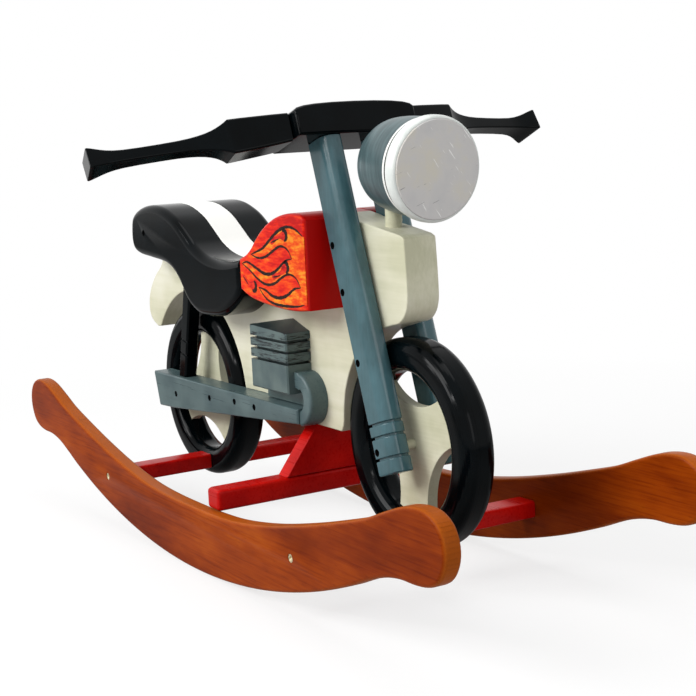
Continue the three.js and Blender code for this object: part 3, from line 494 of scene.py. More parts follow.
for x in (RAIL_SCREW[0], -RAIL_SCREW[0]):
    drill(rocker_right, (x, RAIL_SCREW[1]), RAIL_BORE, -ROCKER_OUTER - OVERRUN, -ROCKER_OUTER + RAIL_SINK)
keep_pair(rocker_right, stained_birch, "rocker", "stained_wood")
print("rocker outline points:", len(rocker_line))

# %% [markdown]
# ## Plain bars and sawn blocks
# Rails, footrest, gusset, engine blocks, exhaust boards, struts and yoke already have their true
# shape. A copy of each solid is welded, its flat faces are joined, its hard corners get a small
# round, and it stands in for the solid. The walls of the exhaust boards' screw holes get a near-black
# finish as painted shade. The engine's slate has dark streaks about 2 mm high across the finned
# band, and its upward faces, which lie under the tank cheeks, are darkened as painted shade.

# %% Soften a copy of a solid
HARD_CORNER = math.radians(40)


def welded(node, name):
    """A copy of a solid with its loose triangles joined."""
    piece = nodes[node].copy()
    piece.data = nodes[node].data.copy()
    piece.name = piece.data.name = name
    bpy.context.collection.objects.link(piece)
    with editing(piece):
        bpy.ops.mesh.remove_doubles(threshold=0.00002)
    return piece


def softened(node, name, corner):
    """A welded copy whose flat faces are joined and whose hard corners get a small round."""
    piece = welded(node, name)
    with editing(piece):
        bpy.ops.mesh.dissolve_limited(angle_limit=math.radians(1))
    modified(
        piece, "BEVEL", width=corner / 1000, segments=2, limit_method="ANGLE",
        angle_limit=HARD_CORNER, use_clamp_overlap=True,
    )
    even_shading(piece, 40)
    return piece


FIN_MIDDLE, FIN_HALF = 0.2225, 0.0155
engine_paint, tree, shader, place = finish_named("engine_enamel")
slate = clouded(tree, place, 30.0, [(0.35, "#435456"), (0.65, "#5a6a68")])
fin_streak_noise = drawn_out(tree, place, (70, 70, 620), roughness=0.7)
fin_streaks = add(tree, "MapRange", Value=fin_streak_noise, From_Min=0.5, From_Max=0.6)
axes = add(tree, "SeparateXYZ", Vector=place)
fins = add(tree, "Math", "COMPARE", i0=axes.outputs["Z"], i1=FIN_MIDDLE, i2=FIN_HALF)
# Painted shade: faces that look up, under the tank cheeks, are darkened up to three quarters of the way
# to near-black.
up = add(tree, "SeparateXYZ", Vector=add(tree, "NewGeometry").outputs["Normal"])
shaded_top = add(tree, "MapRange", Value=up.outputs["Z"], From_Min=0.05, From_Max=0.3, To_Max=0.75)
streaked = add(tree, "Math", "MULTIPLY", i0=fin_streaks, i1=fins)
streaks_and_shade = add(tree, "Math", "MAXIMUM", i0=streaked, i1=shaded_top)
streaked_and_shaded = add(
    tree, "Mix", COLOURS, i0=streaks_and_shade, i6=slate, i7=linear("#14191d"),
)
feed(tree, shader, Base_Color=streaked_and_shaded, Roughness=0.32, Specular_IOR_Level=0.25)

PIPE_SCREWS = [(-236, 140), (-146, 147), (-84, 151), (-38, 151)]
for end in ("front", "rear"):
    for side in ("right", "left"):
        rail = softened(f"rail_{end}_{side}", f"cross_rail_{end}_{side}", 0.5)
        keep(rail, red_enamel, f"rail_{end}_{side}", slot="red_paint")
keep(softened("footrest_bar", "footrest", 0.8), red_enamel, "footrest_bar", slot="red_paint")
keep(softened("pedestal_gusset", "gusset", 1.2), red_enamel, "pedestal_gusset", slot="red_paint")
# Painted shade: the walls of each exhaust board's screw bores get the near-black finish.
for side in ("right", "left"):
    engine = softened(f"engine_block_{side}", f"engine_{side}", 0.7)
    keep(engine, engine_paint, f"engine_block_{side}", slot="slate_paint")
    pipe = softened(f"exhaust_pipe_{side}", f"exhaust_board_{side}", 0.5)
    keep(pipe, slate_enamel, f"exhaust_pipe_{side}", slot="slate_paint")
    paint_bore_shade(pipe, bore_shade_steel, PIPE_SCREWS, 4, 42.4)
    strut = softened(f"shock_strut_{side}", f"strut_{side}", 0.5)
    keep(strut, black_lacquer, f"shock_strut_{side}", slot="black_paint")
keep(softened("handlebar_yoke", "yoke", 1.0), black_lacquer, "handlebar_yoke", slot="black_paint")
print("softened pieces:", len(PIECES))

# %% [markdown]
# ## Body board
# The cream board is the spine of the toy. It runs from the head block over the tank and down the
# saddle to the mudguard, and arches over the rear wheel. Its top shows between the cheeks: as a
# white stripe on the saddle and a red line on the tank.

# %% Cut the body board
SEAT_TOP = [
    (-300, 345), (-296, 353), (-285, 360), (-265, 365.5), (-240, 367.3), (-215, 364.8),
    (-191, 357.5), (-175, 350), (-150, 333.5), (-137, 325), (-115, 316), (-94, 311.5),
    (-70, 309.7), (-45, 311.5), (-21.6, 316),
]
TANK_TOP = [(-8, 320), (4, 327), (18, 339), (34, 350), (52, 358.5), (70, 363.5), (88, 365.8)]
NOSE_TOP = [(104, 365.6), (132, 361.5), (156, 356), (189, 351), (222, 345.6)]
NOSE = [
    (228, 343), (229.5, 320), (230.5, 296), (230, 283), (226, 272), (216, 263), (202, 259.5),
    (189, 256), (166, 249), (146, 236), (131, 218), (121, 203), (113, 185), (109, 167),
    (107, 150), (103, 142),
]
TAIL = [
    (-329, 211.6), (-344, 218.9), (-350.5, 228.4), (-351, 239.4), (-348, 250.4), (-340, 263),
    (-326, 277), (-308, 290), (-301, 303), (-299, 318), (-300, 345),
]
REAR_HUB = (-220.9, 143)
FRONT_HUB = (212.8, 145.3)
REAR_ARCH = 121
DOUBLED_HALF = 18.5
top_line = soft_line(SEAT_TOP + TANK_TOP + NOSE_TOP)
arch = arc(REAR_HUB, REAR_ARCH, 0, 145, 60)
body_line = top_line + soft_line(NOSE) + arch + soft_line(TAIL)[:-1]
body_board = cut_board("body_board", body_line, -DOUBLED_HALF, DOUBLED_HALF, 1.5, both=True, segments=3)
print("body outline points:", len(body_line))

# %% [markdown]
# Cream, white and red meet on this one board, painted by hand. The material chooses between them
# by place: white along the saddle's top, red along the tank's top, cream elsewhere.

# %% Paint the body board
SEAT_FRONT, TANK_MIDDLE, TANK_HALF, TOP_ABOVE = -0.0215, 0.0485, 0.0705, 0.3
body_paint, tree, shader, place = finish_named("body_board_enamel")
streaks = drawn_out(tree, place, (9, 300, 120))
patches = add(tree, "TexNoise", Vector=place, Scale=14.0, Detail=3.0, Roughness=0.5)
blend = add(tree, "Math", "MULTIPLY_ADD", i0=streaks, i1=0.4, i2=patches)
cream = add(tree, "ValToRGB", Fac=blend, stops=[(0.5, "#c3c2a5"), (0.7, "#d4d2b9"), (0.9, "#e0decb")])
axes = add(tree, "SeparateXYZ", Vector=place)
facing = add(tree, "SeparateXYZ", Vector=add(tree, "NewGeometry").outputs["Normal"])
upward = add(tree, "Math", "GREATER_THAN", i0=facing.outputs["Z"], i1=0.15)
on_seat = add(tree, "Math", "LESS_THAN", i0=axes.outputs["X"], i1=SEAT_FRONT)
on_tank = add(tree, "Math", "COMPARE", i0=axes.outputs["X"], i1=TANK_MIDDLE, i2=TANK_HALF)
high = add(tree, "Math", "GREATER_THAN", i0=axes.outputs["Z"], i1=TOP_ABOVE)
upper = add(tree, "Math", "MULTIPLY", i0=upward, i1=high)
seat_mask = add(tree, "Math", "MULTIPLY", i0=on_seat, i1=upper)
tank_mask = add(tree, "Math", "MULTIPLY", i0=on_tank, i1=upper)
striped = add(
    tree, "Mix", COLOURS, i0=seat_mask, i6=cream, i7=linear("#f4f5f1"),
)
painted = add(
    tree, "Mix", COLOURS, i0=tank_mask, i6=striped, i7=linear("#c4160f"),
)
relief = add(tree, "Bump", Strength=0.08, Distance=0.0005, Height=streaks)
feed(tree, shader, Base_Color=painted, Roughness=0.4, Normal=relief)
keep(body_board, body_paint, "body_core", slot="cream_paint")
print("body paint nodes:", len(tree.nodes))

# %% [markdown]
# ## Saddle cheeks
# Two thick black boards sit either side of the body board. They follow the same saddle line on
# top, and their outer edges are rounded well over, where a child's legs rub. One sunk screw holds
# each tail end.

# %% Cut the saddle cheeks
SEAT_BOTTOM = [
    (-21.6, 284), (-30, 273), (-43, 263.5), (-58, 255.5), (-76, 249.5), (-95, 247), (-115, 246.3),
    (-129, 247.5), (-142, 252), (-153, 258.5), (-163, 268), (-173, 279.5), (-184, 289),
    (-198, 296.5), (-218, 301.5), (-254, 305), (-284, 308), (-296, 313), (-301, 323),
    (-301.5, 335), (-300, 345),
]
CHEEK_INNER, CHEEK_OUTER = 18.8, 60
SEAT_SCREW, SEAT_BORE, SEAT_SINK = (-262, 334), 3.8, 14
seat_line = soft_line(SEAT_TOP) + soft_line(SEAT_BOTTOM)[:-1]
seat_right = cut_board("saddle_cheek_right", seat_line, -CHEEK_INNER, -CHEEK_OUTER, 9, segments=7)
drill(seat_right, SEAT_SCREW, SEAT_BORE, -CHEEK_OUTER - OVERRUN, -CHEEK_OUTER + SEAT_SINK)
# Painted shade: the walls of each saddle screw's bore get the near-black finish.
for seat in keep_pair(seat_right, black_lacquer, "seat_cheek", "black_paint"):
    paint_bore_shade(seat, bore_shade_steel, [SEAT_SCREW], SEAT_BORE + 0.3, CHEEK_OUTER - 0.5)
print("saddle outline points:", len(seat_line))

# %% [markdown]
# ## Tank cheeks
# The tank is two red boards. The outer faces carry flames, so their ground is a mottled
# orange-red that fades into plain red on the rounded edge. The fade follows how far out a point
# lies from the toy's middle.

# %% Cut the tank cheeks
TANK_BOTTOM = [
    (118.8, 270.5), (98, 268.6), (74, 268.2), (48, 269.5), (22, 272), (-2, 276), (-21, 283),
]
tank_line = soft_line([(-21, 315.5)] + TANK_TOP + [(102, 366), (112, 364.4), (118.8, 359.5)], 5)
tank_line += soft_line(TANK_BOTTOM, 5)
tank_right = cut_board(
    "tank_cheek_board_right", tank_line, -CHEEK_INNER, -CHEEK_OUTER, 3.4, segments=4
)

tank_paint, tree, shader, place = finish_named("tank_enamel")
streaks = drawn_out(tree, place, (60, 90, 260), turned_by=(0, 0.3, 0))
axes = add(tree, "SeparateXYZ", Vector=place)
level = add(
    tree, "MapRange", Value=axes.outputs["Z"], From_Min=0.36, From_Max=0.28, To_Min=-0.1, To_Max=0.06,
)
warmth = add(tree, "Math", "ADD", i0=streaks, i1=level)
ground = add(
    tree, "ValToRGB", Fac=warmth,
    stops=[(0.34, "#c00a06"), (0.46, "#dc200a"), (0.58, "#e83f0a"), (0.68, "#ef6410"), (0.78, "#f09022")],
)
outward = add(tree, "Math", "ABSOLUTE", i0=axes.outputs["Y"])
face = add(tree, "MapRange", Value=outward, From_Min=0.0585, From_Max=0.0598)
coloured = add(
    tree, "Mix", COLOURS, i0=face, i6=linear("#bc0c08"), i7=ground,
)
relief = add(tree, "Bump", Strength=0.1, Distance=0.0005, Height=streaks)
feed(tree, shader, Base_Color=coloured, Roughness=0.32, Specular_IOR_Level=0.12, Normal=relief)
keep_pair(tank_right, tank_paint, "tank_cheek", "red_paint")
print("tank outline points:", len(tank_line))

# %% [markdown]
# ## Flames
# Each side of the tank carries hand-painted flames. These are a plain hot-rod pattern of my own:
# licks of orange and yellow that sweep back to a point, round drops of deep red between them, and
# black brush outlines 2 to 5 mm wide that thin out at both ends. Paint has a thickness, so every
# lick, drop and stroke is a sliver that stands 0.05 to 0.15 mm proud of the board. That keeps its
# edge crisp at any distance, where a pattern in the material would need a picture.

# %% The flame paints
def flame_paint(name, dark, middle, light, grain):
    material, tree, shader, place = finish_named(name)
    dabs = drawn_out(tree, place, grain, detail=3.0, turned_by=(0, 0.25, 0))
    tone = add(tree, "ValToRGB", Fac=dabs, stops=[(0.36, dark), (0.5, middle), (0.64, light)])
    feed(tree, shader, Base_Color=tone, Roughness=0.36, Specular_IOR_Level=0.12)
    return material


lick_orange = flame_paint("flame_orange_enamel", "#da2f08", "#e8530b", "#ee9020", (70, 90, 230))
drop_red = flame_paint("flame_red_enamel", "#96060a", "#c4100e", "#dd3418", (90, 90, 200))
outline_black = flame_paint("flame_black_enamel", "#0a0606", "#140a08", "#3a1608", (400, 400, 400))
print("flame paints:", lick_orange.name, drop_red.name, outline_black.name)

# %% Paint the flames
LICKS = [
    [
        (115, 344), (99, 351), (82, 352), (64, 346.5), (47, 337), (33, 329), (20, 325), (7, 321.5),
        (22, 318.5), (38, 320.5), (54, 327), (70, 332.5), (84, 329.5), (92, 321),
    ],
    [
        (92, 321), (78, 318), (64, 310), (50, 304), (34, 303), (16, 308), (-2, 313), (-14, 311),
        (2, 305), (18, 297), (36, 292), (54, 294), (70, 301), (84, 305), (98, 302), (107, 293),
    ],
    [
        (107, 293), (94, 291), (80, 284), (64, 280), (48, 281), (34, 286), (20, 288), (34, 278),
        (50, 273.5), (66, 272.5), (84, 272.8), (100, 274), (113, 276.5),
    ],
]
BASES = [[(117.6, 318), (117.6, 343)], [(117.6, 291), (117.6, 318)], [(117.6, 277), (117.6, 291)]]
DROPS = [
    [(78, 343.5), (67, 342), (50, 335)],
    [(78, 311.5), (67, 305), (50, 300)],
    [(9, 288.5), (-1, 291), (-13, 298)],
]


def dropped(head, middle, tail, radius=5.2):
    """A round drop: a circle about its head that is drawn out to a tail."""
    back = Vector(tail) - Vector(head)
    turn = math.degrees(math.atan2(back.y, back.x))
    belly = arc(head, radius, turn + 75, turn + 285, 14)
    side = Vector((-back.y, back.x)).normalized() * radius * 0.42
    low, high = Vector(middle) - side, Vector(middle) + side
    return belly + [tuple(low), tail, tuple(high)]


def stroke(line, widest, phase):
    """A brush stroke along a line: thin at both ends, with an edge that wavers a little."""
    upper, lower = [], []
    for i, (x, z) in enumerate(line):
        ahead, behind = line[min(i + 1, len(line) - 1)], line[max(i - 1, 0)]
        along = Vector((ahead[0] - behind[0], ahead[1] - behind[1])).normalized()
        share = i / (len(line) - 1)
        half = widest / 2 * (0.16 + 0.84 * math.sin(math.pi * share) ** 0.6)
        half *= 1 + 0.22 * math.sin(2.3 * i + phase) * math.sin(0.9 * i + 2 * phase)
        upper.append((x - along.y * half, z + along.x * half))
        lower.append((x + along.y * half, z - along.x * half))
    return upper + lower[::-1]


def painted_pair(name, outlines, proud, finish):
    """Thin slivers on one side of the tank, joined to one piece, and their mirror image."""
    slivers = [
        cut_board(f"{name}_{i}", outline, 0.1 - CHEEK_OUTER, -CHEEK_OUTER - proud, 0)
        for i, outline in enumerate(outlines)
    ]
    only(slivers[0])
    for sliver in slivers:
        sliver.select_set(True)
    if len(slivers) > 1:
        bpy.ops.object.join()
    slivers[0].name = slivers[0].data.name = f"{name}_right"
    keep_pair(slivers[0], finish, slot="red_paint")


smooth_licks = [soft_line(lick, 3) + base for lick, base in zip(LICKS, BASES)]
painted_pair("flame_lick", smooth_licks, 0.05, lick_orange)
smooth_drops = [soft_line(dropped(*drop) + [dropped(*drop)[0]], 2)[:-1] for drop in DROPS]
painted_pair("flame_drop", smooth_drops, 0.1, drop_red)
strokes = []
for i, lick in enumerate(LICKS):
    tip = min(range(len(lick)), key=lambda k: lick[k][0])
    strokes.append(stroke(soft_line(lick[:tip + 1], 2.5), 3.5, i))
    strokes.append(stroke(soft_line(lick[tip:], 2.5), 2.9, i + 3))
for i, drop in enumerate(DROPS):
    around_drop = dropped(*drop)
    strokes.append(stroke(soft_line(around_drop[:15], 2), 5.4, i + 6))
    strokes.append(stroke(soft_line([around_drop[-1], drop[2]], 2.5), 1.6, i))
painted_pair("flame_outline", strokes, 0.15, outline_black)
print("brush strokes on a side:", len(strokes))

# %% [markdown]
# ## Tyres
# A tyre is a wooden ring, turned so round that it shines like rubber. Its section is a small
# plane whose four corners are bevelled, more on the tread than inside the rim. Spinning the
# section about the hub makes the ring.

# %% Spin the tyres
TYRE_MIDDLE, TYRE_HALF = 86.3, 16.1
TREAD_ROUND, INSIDE_ROUND = 13, 9


def tyre(name, hub):
    middle = Vector((hub[0] + TYRE_MIDDLE, 0, hub[1])) / 1000
    piece = started(bpy.ops.mesh.primitive_plane_add, name, size=1)
    corners = [(out, depth) for depth in (-DOUBLED_HALF, DOUBLED_HALF) for out in (-TYRE_HALF, TYRE_HALF)]
    for vertex, (out, depth) in zip(piece.data.vertices, corners):
        vertex.co = middle + Vector((out, depth, 0)) / 1000
    bpy.ops.object.mode_set(mode="EDIT")
    for outer, radius in ((True, TREAD_ROUND), (False, INSIDE_ROUND)):
        bpy.ops.object.mode_set(mode="OBJECT")
        for vertex in piece.data.vertices:
            vertex.select = (vertex.co.x > middle.x) == outer
        bpy.ops.object.mode_set(mode="EDIT")
        bpy.ops.mesh.bevel(
            offset=radius / 1000, segments=10, affect="VERTICES", clamp_overlap=False
        )
    bpy.ops.mesh.select_all(action="SELECT")
    bpy.ops.mesh.delete(type="ONLY_FACE")
    bpy.ops.mesh.select_all(action="SELECT")
    centre = Vector((hub[0], 0, hub[1])) / 1000
    bpy.ops.mesh.spin(steps=180, angle=math.tau, center=centre, axis=(0, 1, 0))
    bpy.ops.mesh.select_all(action="SELECT")
    bpy.ops.mesh.remove_doubles(threshold=0.00001)
    bpy.ops.object.mode_set(mode="OBJECT")
    tidy_normals(piece)
    even_shading(piece)
    return piece


for end, hub in (("front", FRONT_HUB), ("rear", REAR_HUB)):
    keep(tyre(f"tyre_{end}", hub), black_lacquer, f"{end}_tyre", slot="black_paint")
print("tyre faces:", len(PIECES["tyre_front"].data.polygons))

# %% [markdown]
# ## Wheel webs
# Each tyre is filled by a thin cream board in place of spokes. Three round bites are sawn out of
# its rim, which leaves three broad arms. Both wheels share one outline, turned to where each
# wheel stopped when it was glued.

# %% Cut the wheel webs
WEB_RIM = 69.9
BITE_RADIUS = 69.9
BITE_DEPTH = 32.85
WEB_HALF, AXLE_HOLE = 6, 5.15
FRONT_BITE, REAR_BITE = 87, 20.4


def bitten_line(hub, first_bite):
    """The rim with three bites, the first one's middle at the given turn."""
    reach = WEB_RIM + BITE_RADIUS - BITE_DEPTH
    part = (WEB_RIM ** 2 + reach ** 2 - BITE_RADIUS ** 2) / (2 * WEB_RIM * reach)
    half = math.degrees(math.acos(part))
    line = []
    for turn in (first_bite, first_bite + 120, first_bite + 240):
        lean = math.radians(turn)
        middle = (hub[0] + reach * math.cos(lean), hub[1] + reach * math.sin(lean))
        horn, far_horn = arc(hub, WEB_RIM, turn - half, turn + half, 1)
        start = math.degrees(math.atan2(horn[1] - middle[1], horn[0] - middle[0]))
        end = math.degrees(math.atan2(far_horn[1] - middle[1], far_horn[0] - middle[0]))
        sweep = (start - end) % 360
        line += arc(middle, BITE_RADIUS, start, start - sweep, 32)
        line += arc(hub, WEB_RIM, turn + half, turn + 120 - half, 18)[1:-1]
    return line


for end, hub, bite in (("front", FRONT_HUB, FRONT_BITE), ("rear", REAR_HUB, REAR_BITE)):
    web_line = bitten_line(hub, bite)
    web = cut_board(f"web_{end}", web_line, -WEB_HALF, WEB_HALF, 0.9, both=True, segments=3)
    drill(web, hub, AXLE_HOLE, -WEB_HALF - OVERRUN, WEB_HALF + OVERRUN)
    even_shading(web)
    keep(web, cream_enamel, f"{end}_spider", slot="cream_paint")
print("web outline points:", len(web_line))

# %% [markdown]
# ## Exhaust bends
# The bend is sawn as a thick hook that joins the engine to the exhaust board. Its outer edge is
# rounded, so it catches a soft light along the rim, and its two ends stay square where they meet
# the engine and the exhaust board.

# %% Cut the exhaust bends
BEND, BEND_OUTER, BEND_INNER = (51, 171), 28.6, 12.4
ENGINE_END, PIPE_END, BEND_FACE = 49.3, 56.9, 40
hook = arc(BEND, BEND_OUTER, 90, -77, 36)[:-1]
hook = [(ENGINE_END, hook[0][1])] + hook + [(PIPE_END, 143.2), (PIPE_END, 160.5)]
hook += arc(BEND, BEND_INNER, -54, 90, 20) + [(ENGINE_END, BEND[1] + BEND_INNER)]
bend_right = cut_board(
    "bend_right", hook, -CHEEK_INNER, -BEND_FACE, 3.6, square_behind=PIPE_END + 0.1
)
keep_pair(bend_right, slate_enamel, "exhaust_bend", "slate_paint")
print("bend points:", len(hook))

# %% [markdown]
# ## Handles
# A handle is sawn from a square bar and keeps its four sides all the way: a thick block by the
# yoke, a thin grip, and an end that flares. Its long sides lean back more and more towards the
# end. A ring with rounded corners is extruded from station to station, and each ring is set to
# the station's width, height, corner radius and lean. The last figure says how much of the flare
# it has, because the two ends were not cut alike.

# %% Carve the handles
HANDLE_STATIONS = [
    (0, 33, 25.5, 2, 18, 0), (0.008, 36, 28.5, 2.4, 18, 0), (0.08, 36, 30.4, 2.4, 18, 0),
    (0.16, 36, 32, 2.4, 18, 0), (0.24, 35.8, 33.4, 2.4, 18.5, 0), (0.296, 35.4, 34, 2.4, 19, 0),
    (0.299, 35, 33.6, 2.4, 19, 0), (0.312, 32.4, 30.2, 2.2, 19.3, 0), (0.33, 29.4, 26.6, 2, 19.7, 0),
    (0.352, 26.4, 23, 2, 20.2, 0), (0.378, 23.8, 19.8, 1.9, 20.8, 0), (0.408, 21.6, 17.2, 1.8, 21.5, 0),
    (0.445, 19.7, 15, 1.7, 22.3, 0), (0.49, 18.3, 13.2, 1.6, 23.2, 0), (0.55, 17.2, 12.1, 1.6, 24.4, 0),
    (0.64, 16.7, 11.5, 1.6, 26, 0), (0.74, 16.6, 11.4, 1.6, 27.4, 0), (0.82, 16.8, 11.6, 1.6, 28.4, 0.03),
    (0.865, 17, 11.8, 1.6, 29, 0.12), (0.9, 17, 12, 1.5, 29, 0.28), (0.93, 17, 12, 1.4, 29, 0.5),
    (0.955, 17, 12, 1.3, 29, 0.72), (0.976, 17, 12, 1.2, 29, 0.9), (0.991, 17, 12, 1.1, 29, 1),
    (0.997, 17, 12, 1.1, 29, 0.99), (1, 17, 12, 1, 29, 0.9),
]
CORNER_STEPS = 4


def four_sided(width, height, corner):
    """Points round a rectangle with rounded corners, as many at every station."""
    ring = []
    for quarter in range(4):
        across = 1 if quarter in (0, 3) else -1
        up = 1 if quarter < 2 else -1
        middle = (across * (width / 2 - corner), up * (height / 2 - corner))
        ring += arc(middle, corner, 90 * quarter, 90 * quarter + 90, CORNER_STEPS)
    return ring


def handle(name, side, root, tip, flare):
    """Rings start in line with the yoke's end and come square to the grip further out."""
    root, tip = (Vector((x, side * y, z)) for x, y, z in (root, tip))
    along = (tip - root).normalized()
    rings = []
    for share, width, height, corner, lean, flared in HANDLE_STATIONS:
        squared = min(share / 0.35, 1)
        across = (Vector((1, 0, 0)) - along * along.x * squared).normalized()
        upward = (Vector((0, 0, 1)) - along * along.z * squared).normalized()
        middle = root.lerp(tip, share)
        width += (flare[0] - width) * flared
        height += (flare[1] - height) * flared
        c, s = math.cos(math.radians(lean)), math.sin(math.radians(lean))
        rings.append([
            middle + across * (x * c - z * s) + upward * (x * s + z * c)
            for x, z in four_sided(width, height, corner)
        ])
    piece = lofted(name, rings)
    even_shading(piece, 26)
    return piece


GRIPS = {
    "right": ((105, 69.4, 445), (67.5, 259.7, 424.2), (30, 20)),
    "left": ((105, 69.4, 447), (67.5, 259.1, 438), (35, 22.5)),
}
for side_name, (root, tip, flare) in GRIPS.items():
    side = -1 if side_name == "right" else 1
    carved = handle(f"grip_{side_name}", side, root, tip, flare)
    keep(carved, black_lacquer, f"handle_{side_name}", slot="black_paint")
print("grip faces:", len(carved.data.polygons))

# %% [markdown]
# ## Fork legs
# A fork leg is a board 23 mm thick, well rounded in front and hardly behind. Three saw cuts run
# round its foot like the gaiters of a real fork, and their edges are broken. The leg is lofted
# like the handles, from the foot up, and each saw cut is a pair of smaller rings.

# %% Shape the fork legs
RAKE = math.radians(18.1)
FORK_UP = Vector((-math.sin(RAKE), math.cos(RAKE)))
FORK_AHEAD = Vector((math.cos(RAKE), math.sin(RAKE)))
FORK_SCREWS = (202.5, 155.5, 85.5, -2)
FOOT, HEAD, CUT = -25, 306, 2.4
FORK_INNER, FORK_OUTER, FORK_HALF = 18.8, 42, 16
OUTER_ROUND, INNER_ROUND, REAR_ROUND = 11, 8, 2.5
FORK_BORE, FORK_SINK = 3.7, 5.1


def fork_ring(run, shrink, side):
    """The leg's section at a height above the axle, drawn in by a shrink on three sides."""
    ring = []
    outer, front = FORK_OUTER - shrink, FORK_HALF - shrink
    corners = ((1, 1, OUTER_ROUND), (-1, 1, REAR_ROUND), (-1, -1, REAR_ROUND), (1, -1, INNER_ROUND))
    for quarter, (ahead, out, corner) in enumerate(corners):
        middle = (ahead * (front - corner), outer - corner if out > 0 else FORK_INNER + corner)
        for x, y in arc(middle, corner, 90 * quarter, 90 * quarter + 90, 8):
            spot = Vector(FRONT_HUB) + FORK_UP * run + FORK_AHEAD * x
            ring.append((spot.x, side * y, spot.y))
    return ring


fork_stations = [(FOOT, 1.6), (FOOT + 0.5, 0.7), (FOOT + 1.6, 0)]
for cut in (15.7, 36.5, 49):
    low, high = FOOT + cut - CUT / 2, FOOT + cut + CUT / 2
    fork_stations += [(low - 1, 0), (low - 0.4, 0.2), (low, 0.9), (low + 0.1, CUT)]
    fork_stations += [(high - 0.1, CUT), (high, 0.9), (high + 0.4, 0.2), (high + 1, 0)]
fork_stations += [(HEAD - 0.5, 0), (HEAD, 0.4)]
fork_bores = [
    Vector(FRONT_HUB) + FORK_UP * run - FORK_AHEAD * 9.8 for run in FORK_SCREWS
]
# Painted shade: the walls of the fork screws' bores get the near-black finish.
for side_name, side in (("right", -1), ("left", 1)):
    leg = lofted(f"fork_{side_name}", [fork_ring(run, shrink, side) for run, shrink in fork_stations])
    for bore in fork_bores:
        drill(leg, bore, FORK_BORE, side * (FORK_OUTER + OVERRUN), side * (FORK_OUTER - FORK_SINK))
    even_shading(leg, 40)
    keep(leg, fork_enamel, f"fork_leg_{side_name}", slot="slate_paint")
    paint_bore_shade(leg, bore_shade_steel, fork_bores, FORK_BORE + 0.3, FORK_OUTER - 0.4)
print("fork leg faces:", len(leg.data.polygons))

# %% [markdown]
# ## Headlight
# The lamp is turned on a lathe: a bowl behind, a thin groove, and a rim whose flat front is the
# lens. A ring is extruded and set to the radius of each station along X, then the whole is
# pitched a little nose-down and moved to its place.

# %% Turn the headlight
LAMP_FACE = Vector((260.4, 0, 405.2))
LAMP_PITCH = math.radians(4.8)


def turned(name, stations, sides=96):
    turns = [math.tau * i / sides for i in range(sides)]
    piece = lofted(name, [
        [(run, radius * math.cos(turn), radius * math.sin(turn)) for turn in turns]
        for run, radius in stations
    ])
    piece.data.transform(Matrix.Translation(LAMP_FACE / 1000) @ Matrix.Rotation(LAMP_PITCH, 4, "Y"))
    even_shading(piece)
    return piece


bowl = turned("lamp_bowl", [
    (-86, 9), (-85.7, 13), (-84.6, 20), (-82.6, 26.6), (-80, 31.6), (-77, 36), (-73, 39.4),
    (-68, 41.8), (-62, 43.6), (-54, 44.9), (-46, 45.7), (-38, 46.2), (-30, 46.4), (-17.8, 46.4),
    (-17.1, 46), (-16.8, 45.2),
])
rim = turned("lamp_rim", [
    (-16.5, 43.6), (-14.2, 43.6), (-14.2, 47.5), (-13.7, 48.1), (-12, 48.7), (-8, 49), (-3.6, 48.9),
    (-2.4, 48.6), (-1.3, 48), (-0.5, 47.3), (0, 46.4), (0, 46), (-4.7, 46),
])
lens = turned("lamp_lens", [
    (-4.4, 45.8), (0.2, 45.8), (0.7, 45.6), (1.05, 45.2), (1.2, 44.7),
])
print("lamp pieces:", bowl.name, rim.name, lens.name)

# %% [markdown]
# The lamp's paints follow its own axis. A ring-shaped brush mark runs round the slate bowl, whose
# front edge is white. The saw cut behind the white rim is painted black, as painted shade in the
# groove. A dot product with the axis tells how far behind the lamp's face a point lies.

# %% Paint the headlight
LAMP_AXIS = Vector((math.cos(LAMP_PITCH), 0, -math.sin(LAMP_PITCH)))
FACE_RUN = LAMP_AXIS.dot(LAMP_FACE)


def ahead_of(tree, place, run):
    """1 where a point lies further forward than a run along the lamp, in mm from its face."""
    reach = add(tree, "VectorMath", "DOT_PRODUCT", i0=place, i1=tuple(LAMP_AXIS))
    limit = (FACE_RUN + run) / 1000
    return add(tree, "Math", "GREATER_THAN", i0=reach, i1=limit)


bowl_paint, tree, shader, place = finish_named("lamp_bowl_enamel")
rings = drawn_out(tree, place, (260, 30, 30))
slate = add(
    tree, "ValToRGB", Fac=rings, stops=[(0.32, "#334548"), (0.5, "#3f5356"), (0.7, "#51676a")],
)
edged = add(
    tree, "Mix", COLOURS,
    i0=ahead_of(tree, place, -20.8), i6=slate, i7=linear("#f0f1ec"),
)
# Painted shade: the bowl's face inside the saw cut before the rim is painted near-black.
gap_shaded = add(
    tree, "Mix", COLOURS,
    i0=ahead_of(tree, place, -18), i6=edged, i7=linear("#070808"),
)
relief = add(tree, "Bump", Strength=0.12, Distance=0.0004, Height=rings)
feed(tree, shader, Base_Color=gap_shaded, Roughness=0.34, Normal=relief)

rim_paint, tree, shader, place = finish_named("lamp_rim_enamel")
white = clouded(tree, place, 60.0, [(0.35, "#d3d9d5"), (0.65, "#e4e8e4")])
# Painted shade: the back of the rim, inside the saw cut, is painted near-black.
gap_shaded = add(
    tree, "Mix", COLOURS,
    i0=ahead_of(tree, place, -14), i6=linear("#070808"), i7=white,
)
feed(tree, shader, Base_Color=gap_shaded, Roughness=0.36)
print("lamp paints:", bowl_paint.name, rim_paint.name)

# %% [markdown]
# The lens is only painted: a pale lilac grey that has yellowed in clouds, with thin scratches from
# years of play. Two stretched noises, turned against each other, give light and dark scratches
# about 1 mm wide.

